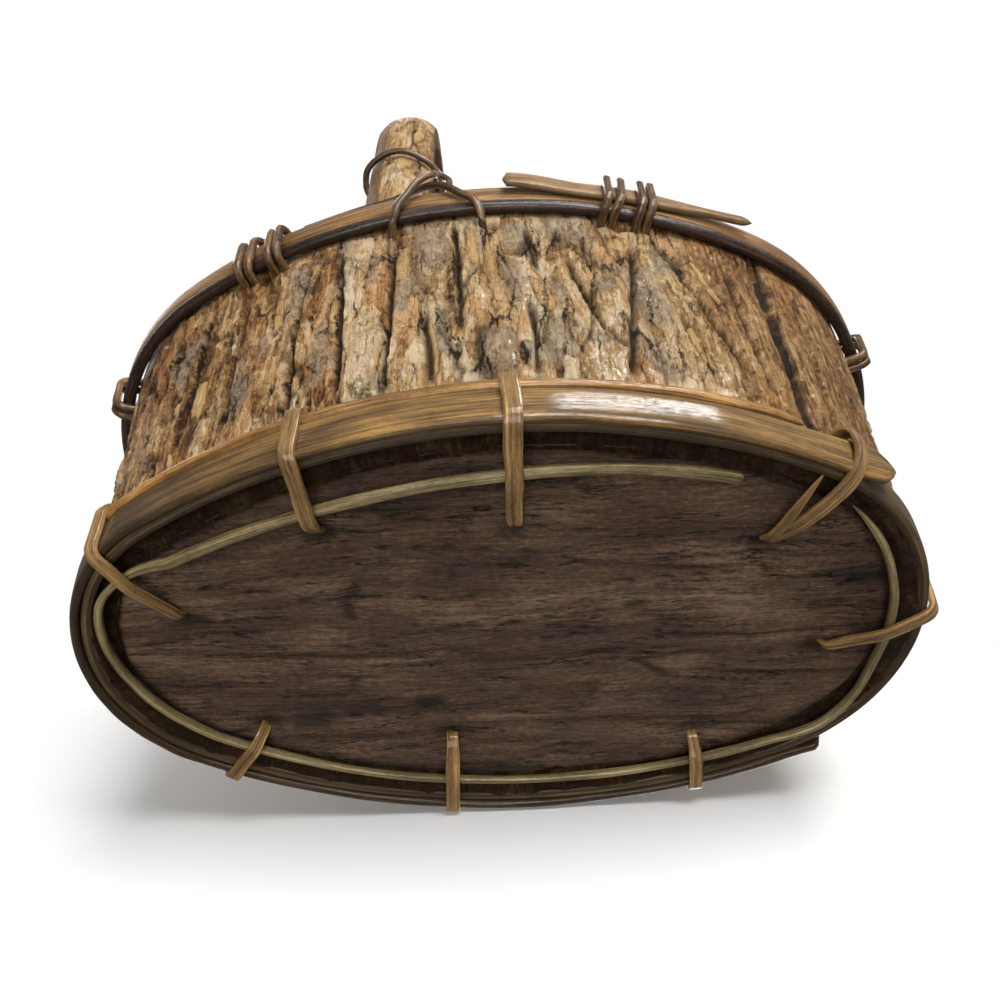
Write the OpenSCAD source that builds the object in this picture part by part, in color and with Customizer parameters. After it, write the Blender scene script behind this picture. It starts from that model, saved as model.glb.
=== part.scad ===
// Bark basket: a flared oval wall of one bark sheet, a bark base board sewn in with
// split-cane stitches, cane hoops at foot and rim, and a bent branch handle.
// The long way is X, the seam side is the front (-Y), and Z = 0 is the surface it stands on.

/* [Bark wall] */
// Width of the wall at its foot, across the short way
foot_width = 95.4; // [84:0.2:110]
// Radius of the two long sides at the foot
side_radius = 141; // [120:1:200]
// Radius of the left end at the foot
left_end_radius = 33.5; // [29:0.5:38]
// Radius of the right end at the foot
right_end_radius = 39; // [33:0.5:41]
// Height of the wall from its foot to its top edge
wall_height = 87; // [60:1:140]
// Outward lean of the wall, in degrees
flare = 14.6; // [6:0.2:18]
// Thickness of the bark at the foot
foot_bark = 5; // [4:0.5:7]
// Thickness of the bark at the top edge
rim_bark = 4.5; // [3.5:0.5:6]
// Compass angle at which the two ends of the sheet meet
seam_angle = -67; // [-80:1:-60]
// Open gap between the two ends of the sheet
seam_gap = 1.2; // [0.6:0.2:2]

/* [Bark furrows] */
// Depth of a furrow in the outside of the bark
furrow_depth = 1.6; // [0.8:0.1:2]
// Width of a furrow
furrow_width = 1.6; // [0.8:0.1:2.4]
// Distance between furrows, away from the front
furrow_pitch = 13; // [10:0.5:20]

/* [Base board] */
// Thickness of the base board
board_thickness = 6; // [4:0.5:9]
// Height of the board's underside above the wall's foot
board_recess = 1.6; // [1.2:0.2:4]

/* [Foot canes] */
// How far the foot canes hang below the lower edge of the bark
cane_drop = 2.8; // [2.8:0.1:4]
// Width of the hidden band next to the bark
under_band_width = 7; // [5:0.5:8]
// Thickness of the hidden band
under_band_thickness = 1.3; // [0.8:0.1:1.8]
// Width of the split-cane band that shows
outer_band_width = 8.5; // [7:0.5:10]
// Thickness of the band that shows
outer_band_thickness = 1.6; // [1.2:0.1:2.4]
// Straight length of the band's free end at the right front
band_end_length = 20; // [8:1:26]
// Diameter of the thin cane along the band's upper edge
filler_diameter = 1.9; // [1.4:0.1:2.4]
// Diameter of the hoop that lies under the base board
inner_hoop_diameter = 1.9; // [1.6:0.1:2.4]
// Distance of that hoop's middle line from the wall's foot, at the front
hoop_front = 8.8; // [7:0.2:9.6]
// The same at the back
hoop_back = 4.8; // [3:0.2:5.6]
// The same at the left end
hoop_left = 2; // [1.8:0.2:5]
// The same at the right end
hoop_right = 5; // [2:0.2:8]

/* [Base stitches] */
// Width of a stitch
stitch_width = 3; // [2.4:0.2:4.4]
// Thickness of a stitch, which is also what the basket stands on
stitch_thickness = 1.3; // [0.9:0.1:1.7]
// Height of bark left between the canes and a stitch's hole
stitch_margin = 1.2; // [1.2:0.2:5]

/* [Rim] */
// Diameter of the dark round hoop outside the rim
rim_hoop_diameter = 3.2; // [2.4:0.1:4]
// Width of the flat hoop above it
flat_hoop_width = 7; // [5:0.5:8]
// Thickness of the flat hoop
flat_hoop_thickness = 3; // [1.8:0.1:3.2]
// Thickness of the strip lapped over the flat hoop
lap_thickness = 1.5; // [1:0.1:2]
// Straight length of the lapped strip's free end
lap_end_length = 31; // [15:1:36]
// Diameter of the lashing cane
lashing_diameter = 2; // [1.6:0.1:2.2]
// Distance between two neighbouring turns of a lashing
lashing_pitch = 2.6; // [2.6:0.1:3]
// Distance between the two pairs of turns in a double lashing
lashing_pair_step = 8.6; // [7.4:0.2:10]

/* [Handle] */
// Place of the handle along the basket
handle_x = -26; // [-34:1:-10]
// Width of the branch
handle_width = 19; // [14:0.5:22]
// Thickness of the branch
handle_thickness = 9; // [7:0.5:12]
// Height of the rounded bark side of the branch
handle_crown = 4; // [2:0.5:5]
// How far a leg reaches down inside the wall
handle_depth = 38; // [26:1:44]
// Straight rise of a leg above the rim
handle_rise = 70; // [40:1:80]
// Height of the tie round each leg above the rim
tie_height = 47; // [30:1:60]

/* [Hidden] */

$fn = 96;
// Clearance between pieces that lie against each other
fit_gap = 0.2;
// Clearance round a cane in its hole
hole_gap = 0.35;
// Least clear space that a winding keeps from itself
winding_gap = 0.4;
// How far a cut reaches past what it cuts
cut_margin = 3;
// Steps of the drawn curves: a quarter of the oval, one stretch of a handle cane
oval_steps = 24;
curve_steps = 4;
// How far the long sides of a swept piece run into its ends, in degrees, and how much slimmer they are
joint_lap = 0.4;
joint_slim = 0.04;
// How far a leg of the handle runs up into its arch
leg_lap = 0.5;
// Pieces that aren't swept round the outline have no such step
$slim = 0;

// Each stitch: compass angle on the outline, slant, reach of its base hole from the wall's foot, and
// the outermost cane that it goes over
FRONT_LEFT = [-106.5, 10, 15.3, "outer band"];
FRONT_MIDDLE = [-90.8, 0, 21.5, "outer band"];
FRONT_RIGHT = [-65, 12, 18.3, "free end"];
RIGHT_END = [-6, -28, 20, "under band"];
BACK_RIGHT = [74, 12, 10, "outer band"];
BACK_MIDDLE = [97, -5, 16.2, "outer band"];
BACK_LEFT = [117, 12, 10, "outer band"];
LEFT_END = [-135, 16, 18.5, "outer band"];
STITCHES = [FRONT_LEFT, FRONT_MIDDLE, FRONT_RIGHT, RIGHT_END, BACK_RIGHT, BACK_MIDDLE, BACK_LEFT, LEFT_END];

// Each rim lashing: compass angle, the number of pairs of turns, and the outermost cane that it holds
LASH_FRONT_LEFT = [-112, 2, "hoops"];
LASH_FRONT_RIGHT = [-79.5, 2, "lap strip"];
LASH_RIGHT_END = [-27, 1, "hoops"];
LASH_BACK_RIGHT = [79, 2, "hoops"];
LASH_BACK_LEFT = [112, 2, "hoops"];
LASH_LEFT_END = [-158, 1, "hoops"];
LASHINGS = [
    LASH_FRONT_LEFT, LASH_FRONT_RIGHT, LASH_RIGHT_END,
    LASH_BACK_RIGHT, LASH_BACK_LEFT, LASH_LEFT_END
];

// Compass angles where the foot canes and the lapped strip start and stop
BAND_TURN = [52, 290];
FILLER_TURN = [-150, -69];
INNER_HOOP_TURN = [-54, 287];
LAP_TURN = [-90, -77];

// Furrows of the front: turn from the seam, from and to as shares of the slope, and lean in degrees
FRONT_FURROWS = [
    [-55, 0.15, 0.76, 0], [-50.8, 0.27, 0.86, 1], [-46.5, 0.22, 0.8, 0], [-41, 0.15, 0.66, 1],
    [-37.2, 0.17, 0.86, -1], [-32.9, 0.15, 0.8, 1], [-29.8, 0.15, 0.46, -3], [-27.2, 0.33, 0.86, 0],
    [-21.4, 0.15, 0.48, 0], [-21, 0.59, 0.86, -7], [-17, 0.33, 0.69, -11], [-13.2, 0.16, 0.8, 7],
    [-7, 0.25, 0.84, -16], [-3.2, 0.22, 0.86, -3]
];

// Outlines of four arcs, each tangent to the next: the centre of an end, and the radius of an end
// that reaches a given distance from the middle
function end_centre(half, side, end) = sqrt((half - end) * (2 * side - end - half));
function end_radius(half, side, reach) = (half * (2 * side - half) - reach * reach) / (2 * (side - reach));
// Each arc: centre, radius, and the compass angles between which it runs
function four_arcs(middle, half, side, left, right) =
    let (left_centre = end_centre(half, side, left),
         right_centre = end_centre(half, side, right),
         left_turn = atan2(left_centre, side - half),
         right_turn = atan2(right_centre, side - half))
    [
        [middle + [right_centre, 0], right, right_turn - 90, 90 - right_turn],
        [middle + [0, half - side], side, 90 - right_turn, 90 + left_turn],
        [middle - [left_centre, 0], left, 90 + left_turn, 270 - left_turn],
        [middle + [0, side - half], side, 270 - left_turn, 270 + right_turn]
    ];

// Outline of the foot, moved so that its two ends lie equally far from the origin
half_width = foot_width / 2;
side_centre = side_radius - half_width;
left_reach = end_centre(half_width, side_radius, left_end_radius) + left_end_radius;
right_reach = end_centre(half_width, side_radius, right_end_radius) + right_end_radius;
shift = (left_reach - right_reach) / 2;
ARCS = four_arcs([shift, 0], half_width, side_radius, left_end_radius, right_end_radius);
right_turn = ARCS[0][2] + 90;

// Middle line of the hoop under the base board
hoop_inset = (hoop_front + hoop_back) / 2;
hoop_half = half_width - hoop_inset;
hoop_side = side_radius - hoop_inset;
HOOP_ARCS = four_arcs([shift, (hoop_front - hoop_back) / 2], hoop_half, hoop_side,
    end_radius(hoop_half, hoop_side, left_reach - hoop_left),
    end_radius(hoop_half, hoop_side, right_reach - hoop_right));

// Heights, and the wall's run outwards from its foot
foot_z = stitch_thickness + cane_drop * cos(flare);
top_z = foot_z + wall_height;
slope_length = wall_height / cos(flare);
rim_out = wall_height * tan(flare);
foot_run = foot_bark / cos(flare);
rim_run = rim_bark / cos(flare);
board_z = foot_z + board_recess;
board_top = board_z + board_thickness;

// Foot canes, measured up the slope of the wall and out from its face
under_band_low = 1.2 - cane_drop;
outer_band_low = 0.8 - cane_drop;
outer_band_out = under_band_thickness + 2 * fit_gap;
band_out = outer_band_out + outer_band_thickness;
band_top = outer_band_low + outer_band_width;
filler_up = band_top + fit_gap + filler_diameter / 2;
stitch_hole_up = filler_up + filler_diameter / 2 + stitch_margin;
stitch_hole_z = max(foot_z + stitch_hole_up * cos(flare), board_top + hole_gap + stitch_thickness);
// Run over which a stitch rises from under the hoop to its hole in the board
stitch_rise = 2.5;

// Rim canes, measured the same way
flat_hoop_low = slope_length - flat_hoop_width + fit_gap;
rim_hoop_up = flat_hoop_low - fit_gap - rim_hoop_diameter / 2;
rim_hoop_out = fit_gap + rim_hoop_diameter;
flat_hoop_out = fit_gap + flat_hoop_thickness;
lap_inset = 0.4;
lap_low = flat_hoop_low + lap_inset;
lap_width = flat_hoop_width - 2 * lap_inset;
lap_out = flat_hoop_out + fit_gap + lap_thickness;
hoops_out = max(rim_hoop_out, flat_hoop_out);
lash_radius = lashing_diameter / 2;

// Path of one lashing turn: a box round the rim with rounded corners
lash_corner = 2.6;
lash_hole_up = rim_hoop_up - rim_hoop_diameter / 2 - lashing_diameter;
lash_top = slope_length + 2 * fit_gap + lash_radius;
lash_inside = -(rim_bark + 2 * hole_gap + lash_radius);
corner_points = 6;
ring_sides = 6;

// Handle: two straight legs that lean like the inside of the wall, to a tenth of a degree, joined by one arc
leg_lean = round(10 * atan2(rim_out - rim_run + foot_run, wall_height)) / 10;
handle_swing = asin((handle_x - shift) / (side_radius + rim_out));
crown_radius = (handle_width * handle_width / 4 + handle_crown * handle_crown) / (2 * handle_crown);
// Room for the round side of the branch beside a wall that runs past it at a slant
crown_room = crown_radius * (1 / cos(handle_swing) - 1);
// Distance of a leg's bark side from the middle of the basket, at the height of the rim
leg_face = (side_radius + rim_out) * cos(handle_swing) - side_centre
    - (rim_run + hole_gap) / cos(handle_swing) - crown_room;
leg_y = leg_face + handle_rise * tan(leg_lean) - handle_thickness / 2 / cos(leg_lean);
arch_radius = leg_y / cos(leg_lean);
arch_z = top_z + handle_rise + arch_radius * sin(leg_lean);
leg_length = (handle_rise + handle_depth) / cos(leg_lean);

// Furrows from the seam round the ends and the back, evenly spaced and of uneven length
function uneven(k) = 0.5 + 0.5 * sin(k);
REST_FURROWS = [
    for (i = [0 : 2])
        let (arc = ARCS[i],
             start = i == 0 ? max(arc[2], seam_angle) : arc[2],
             count = round((arc[3] - start) * PI / 180 * (arc[1] + rim_out / 2) / furrow_pitch))
        for (k = [0 : count - 1])
            let (a = start + (arc[3] - start) * (k + 0.5) / count)
            [a, 0.15 + 0.17 * uneven(7 * a), 0.81 - 0.2 * uneven(11 * a), 3 * sin(5 * a)]
];
FURROWS = concat([for (f = FRONT_FURROWS) [seam_angle + f[0], f[1], f[2], f[3]]], REST_FURROWS);
// Length over which a furrow runs out at each end
furrow_run = 5;

// Holes of the handle canes: along the basket from the handle, and up from the rim
tie_hole = [2, -12.4];
brace_hole = [24, -14.4];
// Places of the handle canes' middle lines: out from the wall, or beside the branch
inside_wall = -(rim_run + hole_gap + lash_radius);
over_hoop = rim_hoop_out + hole_gap + lash_radius;
over_brace = over_hoop + lashing_diameter + 2 * winding_gap;
beside_branch = handle_width / 2 + fit_gap + lash_radius;
before_branch = 2 * fit_gap + lash_radius;
behind_branch = -handle_thickness / cos(leg_lean) - 3 * fit_gap - lash_radius;
branch_middle = -handle_thickness / 2 / cos(leg_lean);

// The arc on which a compass angle lies
function turned(a) = a < right_turn - 90 ? turned(a + 360) : a >= 270 + right_turn ? turned(a - 360) : a;
function arc_at(a) = [for (arc = ARCS) if (turned(a) >= arc[2] && turned(a) < arc[3]) arc][0];

// A place on the wall, from its height up the slope and its distance out from the face
function on_wall(up, out) =
    [up * sin(flare) + out * cos(flare), foot_z + up * cos(flare) - out * sin(flare)];

// Places at the front near the handle, as [along the basket from the handle, outwards, up from the rim]:
// out from the face of the wall, or out from the bark side of the branch
function by_wall(p) =
    let (x = handle_x + p.x, z = top_z + p.z, r = side_radius + (z - foot_z) * tan(flare) + p.y)
    [x, side_centre - sqrt(r * r - pow(x - shift, 2)), z];
function by_branch(p) = [handle_x + p.x, -leg_face - p.z * tan(leg_lean) - p.y, top_z + p.z];

// Cane that comes out of the wall, climbs beside the leg, goes once round it and down inside the wall
CLIMB = [0, 0.18, 0.5, 0.82, 1];
function climb(from, to) = [for (share = CLIMB) from + share * (to - from)];
function tie_route() = concat(
    [for (p = [
        [tie_hole.x, -rim_run, tie_hole.y],
        [tie_hole.x, lash_radius, tie_hole.y],
        [tie_hole.x + 0.6, over_hoop - lash_radius, tie_hole.y + 1],
        [tie_hole.x + 1.6, over_hoop + 2 * fit_gap, -9],
        [5.5, over_hoop + 1, -6],
        [8, over_brace - 0.6, -3],
        [10.5, over_brace - 0.5, -0.5]
    ]) by_wall(p)],
    climb(by_wall([12, over_brace - 1.5, 2.5]), by_branch([beside_branch, -handle_crown / 2, tie_height - 7])),
    [for (p = [
        [beside_branch + 0.3, branch_middle, -3.5],
        [beside_branch - 0.6, behind_branch, -1.5],
        [0, behind_branch, 0],
        [0.6 - beside_branch, behind_branch, 1.3],
        [-beside_branch - 0.3, branch_middle, 2.2],
        [2.5 - handle_width / 2, before_branch - handle_crown / 2, 2.6],
        [0, before_branch + 0.2, 2.2],
        [handle_width / 2 - 2, before_branch - handle_crown / 2, 0.8],
        [beside_branch + 1.2, branch_middle, 0.3]
    ]) by_branch(p + [0, 0, tie_height])],
    climb(by_branch([beside_branch + 3.8, branch_middle - 0.5, tie_height - 3]),
          by_wall([beside_branch + 5.5, inside_wall - fit_gap, 4])),
    [by_wall([beside_branch + 5.5, inside_wall - fit_gap, -4])]);

// Cane that lies on the flat hoop, passes before the leg and goes down into the wall
function brace_route() =
    let (on_hoop = 0.5 + 2 * fit_gap + lash_radius)
    [for (p = [
        [-22, 1.2, on_hoop],
        [-14, 1.2, on_hoop],
        [-6, 1.4, on_hoop + 0.2],
        [2, 1.8, on_hoop + 0.3],
        [9, 3.4, on_hoop + 0.2],
        [14, over_hoop + fit_gap, -1.5],
        [19, over_hoop, -7],
        [22.5, over_hoop - 0.4, -11],
        [brace_hole.x, lash_radius, brace_hole.y],
        [brace_hole.x, inside_wall - lashing_diameter, brace_hole.y]
    ]) by_wall(p)];

// A smooth curve through the points of a list
function spline_point(p, i, t) =
    let (a = p[max(i - 1, 0)], b = p[i], c = p[i + 1], d = p[min(i + 2, len(p) - 1)])
    0.5 * (2 * b + (c - a) * t + (2 * a - 5 * b + 4 * c - d) * t * t + (3 * b - a - 3 * c + d) * t * t * t);
function spline(p, steps) = concat(
    [for (i = [0 : len(p) - 2]) for (k = [0 : steps - 1]) spline_point(p, i, k / steps)],
    [p[len(p) - 1]]);

function unit(v) = v / norm(v);
function tangents(p) = [for (i = [0 : len(p) - 1]) unit(p[min(i + 1, len(p) - 1)] - p[max(i - 1, 0)])];

// Carries one cross-section direction along a path without twisting it
function carried(tangent, sides, i) =
    i == len(tangent) ? sides :
    carried(tangent, concat(sides, [unit(sides[i - 1] - (sides[i - 1] * tangent[i]) * tangent[i])]), i + 1);

// Least clear distance of a tube to itself, past a stretch of near neighbours
function least_gap(p, diameter, skip) =
    min([for (i = [0 : len(p) - skip - 1]) for (j = [i + skip : len(p) - 1]) norm(p[i] - p[j])]) - diameter;

// Closed outline moved sideways, with mitred corners
function outline_moved(p, by) = [
    for (i = [0 : len(p) - 1])
        let (n = len(p),
             a = unit(p[i] - p[(i + n - 1) % n]),
             b = unit(p[(i + 1) % n] - p[i]),
             na = [a.y, -a.x],
             nb = [b.y, -b.x])
        p[i] + by * (na + nb) / (1 + na * nb)
];

// Stands its children on the outline: local X points outwards, Y along the wall
module at_station(a) {
    arc = arc_at(a);
    translate(arc[0]) rotate(a) translate([arc[1], 0, 0]) children();
}

// The same with the wall's slope: local X out from its face, Z up the slope
module on_slope(a, up) {
    at_station(a) translate([0, 0, foot_z]) rotate([0, flare, 0]) translate([0, 0, up]) children();
}

// Sweeps a profile round a whole outline, or between two compass angles. The long sides are
// drawn a hair slimmer and run a little way into the ends, so that the arcs join as one solid.
module oval_sweep(from, to, arcs = ARCS) {
    whole = is_undef(from);
    for (turn = whole ? [0] : [-360, 0, 360], i = [0 : 3]) {
        arc = arcs[i];
        on_side = i % 2 == 1;
        arc_low = arc[2] + turn - (on_side ? joint_lap : 0);
        arc_high = arc[3] + turn + (on_side ? joint_lap : 0);
        low = whole ? arc_low : max(from, arc_low);
        high = whole ? arc_high : min(to, arc_high);
        $slim = on_side ? joint_slim : 0;
        if (high - low > 2 * joint_lap)
            translate(arc[0]) rotate(low) rotate_extrude(angle = high - low)
                translate([arc[1], 0]) children();
    }
}

// Cross-section of a flat cane on the wall, with its outer edges rounded off
module flat_cane(low, width, inner, outer) {
    round_off = min(width, outer - inner) * 0.4;
    bottom = low + $slim;
    top = low + width - $slim;
    back = inner + $slim;
    face = outer - $slim;
    polygon([
        on_wall(bottom, back), on_wall(bottom, face - round_off),
        on_wall(bottom + round_off, face), on_wall(top - round_off, face),
        on_wall(top, face - round_off), on_wall(top, back)
    ]);
}

// Straight free end of a flat cane, along the wall from a compass angle
module free_end(a, length) {
    arc = arc_at(a);
    translate(arc[0]) rotate(a) rotate([90, 0, 180]) linear_extrude(length) mirror([1, 0])
        translate([arc[1], 0]) children();
}

module round_cane(up, diameter) {
    translate(on_wall(up, fit_gap + diameter / 2)) circle(d = diameter - 2 * $slim);
}

// Tube along a path, one ring of points at each place
module tube(path, first_side, diameter, name) {
    way = tangents(path);
    start = unit(first_side - (first_side * way[0]) * way[0]);
    sides = carried(way, [start], 1);
    last = len(path) - 1;
    points = [
        for (i = [0 : last]) for (k = [0 : ring_sides - 1])
            let (a = 360 * k / ring_sides)
            path[i] + diameter / 2 * (cos(a) * sides[i] + sin(a) * cross(way[i], sides[i]))
    ];
    faces = concat(
        [for (i = [0 : last - 1]) for (k = [0 : ring_sides - 1])
            [i * ring_sides + k, (i + 1) * ring_sides + k, i * ring_sides + (k + 1) % ring_sides]],
        [for (i = [0 : last - 1]) for (k = [0 : ring_sides - 1])
            [i * ring_sides + (k + 1) % ring_sides, (i + 1) * ring_sides + k,
             (i + 1) * ring_sides + (k + 1) % ring_sides]],
        [for (k = [1 : ring_sides - 2]) [0, k, k + 1]],
        [for (k = [1 : ring_sides - 2])
            [last * ring_sides, last * ring_sides + k + 1, last * ring_sides + k]]);
    echo(str(name, " least gap to itself ", least_gap(path, diameter, 3 * corner_points)));
    polyhedron(points, faces);
}

// Cut through the wall where the ends of the sheet meet
module seam_cut() {
    at_station(seam_angle)
        translate([-foot_run - cut_margin, -seam_gap / 2, foot_z - cut_margin])
            cube([foot_run + rim_out + 2 * cut_margin, seam_gap, wall_height + 2 * cut_margin]);
}

// One furrow: a slot up the face of the wall that runs out at both ends
module furrow_cut(furrow) {
    half = (furrow[2] - furrow[1]) * slope_length / 2;
    beyond = half + cut_margin * furrow_run / furrow_depth;
    on_slope(furrow[0], furrow[1] * slope_length + half) rotate([-furrow[3], 0, 0]) rotate([90, 0, 0])
        linear_extrude(furrow_width, center = true) polygon([
            [cut_margin, -beyond], [-furrow_depth, furrow_run - half],
            [-furrow_depth, half - furrow_run], [cut_margin, beyond]
        ]);
}

// Places a stitch's own plane: local X out, Z up, turned by its slant at the wall's foot
module in_stitch_plane(stitch) {
    at_station(stitch[0]) rotate(stitch[1]) children();
}

// Distance from the wall's face to the outside of the canes under a stitch
function outline_point(a, out) = arc_at(a)[0] + (arc_at(a)[1] + out) * [cos(a), sin(a)];
function free_end_rise(a) =
    let (start = BAND_TURN[1], away = outline_point(start, band_out) - outline_point(a, band_out))
    away * [cos(start), sin(start)] / cos(a - start);
function canes_out(place) =
    place[3] == "under band" ? fit_gap + under_band_thickness :
    place[3] == "free end" ? band_out + free_end_rise(place[0] + stitch_width) :
    band_out;

// Room that a slanted stitch needs beyond a square one
function slant_room(stitch) = stitch_width / 2 * tan(abs(stitch[1]));

module stitch_wall_cut(stitch) {
    height = stitch_thickness + 2 * hole_gap;
    in_stitch_plane(stitch)
        translate([-foot_run - cut_margin, -stitch_width / 2 - hole_gap, stitch_hole_z - height / 2])
            cube([foot_run + stitch_hole_up + 2 * cut_margin, stitch_width + 2 * hole_gap, height]);
}

module stitch_board_cut(stitch) {
    run = stitch_thickness + 2 * hole_gap;
    in_stitch_plane(stitch)
        translate([-stitch[2] - run / 2, -stitch_width / 2 - hole_gap, board_z - cut_margin])
            cube([run, stitch_width + 2 * hole_gap, board_thickness + 2 * cut_margin]);
}

// Pairs of turns of a lashing, as distances along the wall from its middle
function pair_starts(pairs) =
    [for (i = [0 : pairs - 1]) (i - (pairs - 1) / 2) * lashing_pair_step - lashing_pitch / 2];
function turn_starts(pairs) = [for (start = pair_starts(pairs)) each [start, start + lashing_pitch]];

module lashing_cut(lashing) {
    width = lashing_pitch + lashing_diameter + 2 * hole_gap;
    height = lashing_diameter + 2 * hole_gap;
    on_slope(lashing[0], lash_hole_up)
        for (start = pair_starts(lashing[1]))
            translate([-rim_run - 2 * cut_margin, start - lash_radius - hole_gap, -height / 2])
                cube([rim_run + 3 * cut_margin, width, height]);
}

module handle_cane_cuts() {
    for (side = [0, 1], hole = [tie_hole, brace_hole])
        mirror([0, side, 0])
            translate(by_wall([hole.x, 2 * cut_margin, hole.y])) rotate([-90, 0, 0])
                cylinder(d = lashing_diameter + 2 * hole_gap, h = rim_run + 5 * cut_margin);
}

// One bark sheet bent into an oval, with its two ends meeting at the seam
module wall_bark() {
    color("#7a5a3c") difference() {
        oval_sweep() polygon([
            [-$slim, foot_z + $slim], [rim_out - $slim, top_z - $slim],
            [rim_out - rim_run + $slim, top_z - $slim], [$slim - foot_run, foot_z + $slim]
        ]);
        seam_cut();
        for (furrow = FURROWS) furrow_cut(furrow);
        for (stitch = STITCHES) stitch_wall_cut(stitch);
        for (lashing = LASHINGS) lashing_cut(lashing);
        handle_cane_cuts();
    }
}

// Points of the oval, moved inwards from the foot outline
function oval_points(inset) = [
    for (arc = ARCS) for (i = [0 : oval_steps - 1])
        let (a = arc[2] + (arc[3] - arc[2]) * i / oval_steps)
        arc[0] + (arc[1] - inset) * [cos(a), sin(a)]
];

// Bark slab that closes the foot, cut to the inside of the wall
module base_board() {
    bark_there = foot_run + (rim_run - foot_run) * board_recess / wall_height;
    color("#4f3524") difference() {
        translate([0, 0, board_z]) linear_extrude(board_thickness)
            polygon(oval_points(bark_there + fit_gap - board_recess * tan(flare)));
        for (stitch = STITCHES) stitch_board_cut(stitch);
    }
}

module base_under_band() {
    color("#5a4630") oval_sweep()
        flat_cane(under_band_low, under_band_width, fit_gap, fit_gap + under_band_thickness);
}

// Split cane that shows round the foot, open at the right end
module base_outer_band() {
    color("#8a6f45") {
        oval_sweep(BAND_TURN[0], BAND_TURN[1])
            flat_cane(outer_band_low, outer_band_width, outer_band_out, band_out);
        free_end(BAND_TURN[1], band_end_length)
            flat_cane(outer_band_low, outer_band_width, outer_band_out, band_out);
    }
}

module base_filler_cane() {
    color("#a5713f") oval_sweep(FILLER_TURN[0], FILLER_TURN[1]) round_cane(filler_up, filler_diameter);
}

// Thin hoop bent by hand round the underside of wall and base board, held by the stitches
module base_inner_hoop() {
    color("#8f7f55") oval_sweep(INNER_HOOP_TURN[0], INNER_HOOP_TURN[1], HOOP_ARCS)
        translate([0, foot_z - fit_gap - inner_hoop_diameter / 2])
            circle(d = inner_hoop_diameter - 2 * $slim);
}

// Split-cane strap: out of the wall above the canes, down over them and under the
// wall, up through the base board and back to the wall
module stitch(place) {
    stretch = 1 / cos(place[1]);
    room = slant_room(place);
    half = stitch_thickness / 2;
    run_out = (canes_out(place) + fit_gap + half) / cos(flare) + room;
    hole_face = (stitch_hole_z - foot_z) * tan(flare);
    low_face = (half - foot_z) * tan(flare);
    path = [
        [(hole_face + run_out) * stretch, stitch_hole_z],
        [(low_face + run_out) * stretch, half],
        [stitch_rise - place[2], half],
        [-place[2], board_z - fit_gap - half],
        [-place[2], board_top + 2 * fit_gap + half],
        [(hole_face - foot_run) * stretch - room - fit_gap - half, stitch_hole_z]
    ];
    color("#a77b4a") in_stitch_plane(place)
        translate([0, stitch_width / 2, 0]) rotate([90, 0, 0]) linear_extrude(stitch_width)
            difference() {
                polygon(outline_moved(path, -half));
                polygon(outline_moved(path, half));
            }
}

module rim_outer_hoop() {
    color("#2b1c17") oval_sweep() round_cane(rim_hoop_up, rim_hoop_diameter);
}

module rim_flat_hoop() {
    color("#8d6a48") oval_sweep() flat_cane(flat_hoop_low, flat_hoop_width, fit_gap, flat_hoop_out);
}

// Strip lapped over the flat hoop at the front, with a free end to the right
module rim_lap_strip() {
    color("#a08458") {
        oval_sweep(LAP_TURN[0], LAP_TURN[1]) flat_cane(lap_low, lap_width, flat_hoop_out + fit_gap, lap_out);
        free_end(LAP_TURN[1], lap_end_length)
            flat_cane(lap_low, lap_width, flat_hoop_out + fit_gap, lap_out);
    }
}

// Corners of one turn, in order: centre and the angle at which its round starts
function lash_corners(outside) = [
    [[outside - lash_corner, lash_hole_up + lash_corner], -90],
    [[outside - lash_corner, lash_top - lash_corner], 0],
    [[lash_inside + lash_corner, lash_top - lash_corner], 90],
    [[lash_inside + lash_corner, lash_hole_up + lash_corner], 180]
];

// Path of a whole lashing, as [out from the face, along the wall, up the slope]
function lash_path(pairs, held) =
    let (starts = turn_starts(pairs),
         turns = len(starts),
         steps = 4 * corner_points - 1,
         corners = lash_corners((held == "lap strip" ? lap_out : hoops_out) + hole_gap + lash_radius))
    concat(
        [[lash_inside - lash_radius, starts[0], lash_hole_up]],
        [for (t = [0 : turns - 1], q = [0 : t == turns - 1 ? 2 : 3], k = [0 : corner_points - 1])
            let (corner = corners[q],
                 a = corner[1] + 90 * k / (corner_points - 1),
                 next = t == turns - 1 ? starts[t] + lashing_pitch : starts[t + 1],
                 place = corner[0] + lash_corner * [cos(a), sin(a)])
            [place.x, starts[t] + (next - starts[t]) * (q * corner_points + k) / steps, place.y]],
        [[lash_inside, starts[turns - 1] + lashing_pitch * 0.75,
          lash_hole_up + lashing_diameter + winding_gap]]);

// Cane wound round the rim and through holes below it, as one unbroken strand
module lashing(place, name) {
    path = lash_path(place[1], place[2]);
    color("#6b4a2e") on_slope(place[0], 0) tube(path, [0, 1, 0], lashing_diameter, name);
}

// Cross-section of the branch: flat inside, round bark side outside
module branch_section() {
    intersection() {
        translate([handle_thickness / 2 - crown_radius, 0]) circle(r = crown_radius - $slim);
        square([handle_thickness - 2 * $slim, handle_width - 2 * $slim], center = true);
    }
}

// Branch bent over the basket, its legs inside the front and back walls
module handle_branch() {
    color("#86684a") translate([handle_x, 0, arch_z]) rotate([90, 0, 90]) {
        rotate(-leg_lean) rotate_extrude(angle = 180 + 2 * leg_lean)
            translate([arch_radius, 0]) branch_section();
        for (side = [0, 1]) {
            $slim = joint_slim;
            mirror([side, 0, 0]) rotate(-leg_lean) translate([arch_radius, leg_lap, 0])
                rotate([90, 0, 0]) linear_extrude(leg_length + leg_lap) branch_section();
        }
    }
}

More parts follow.
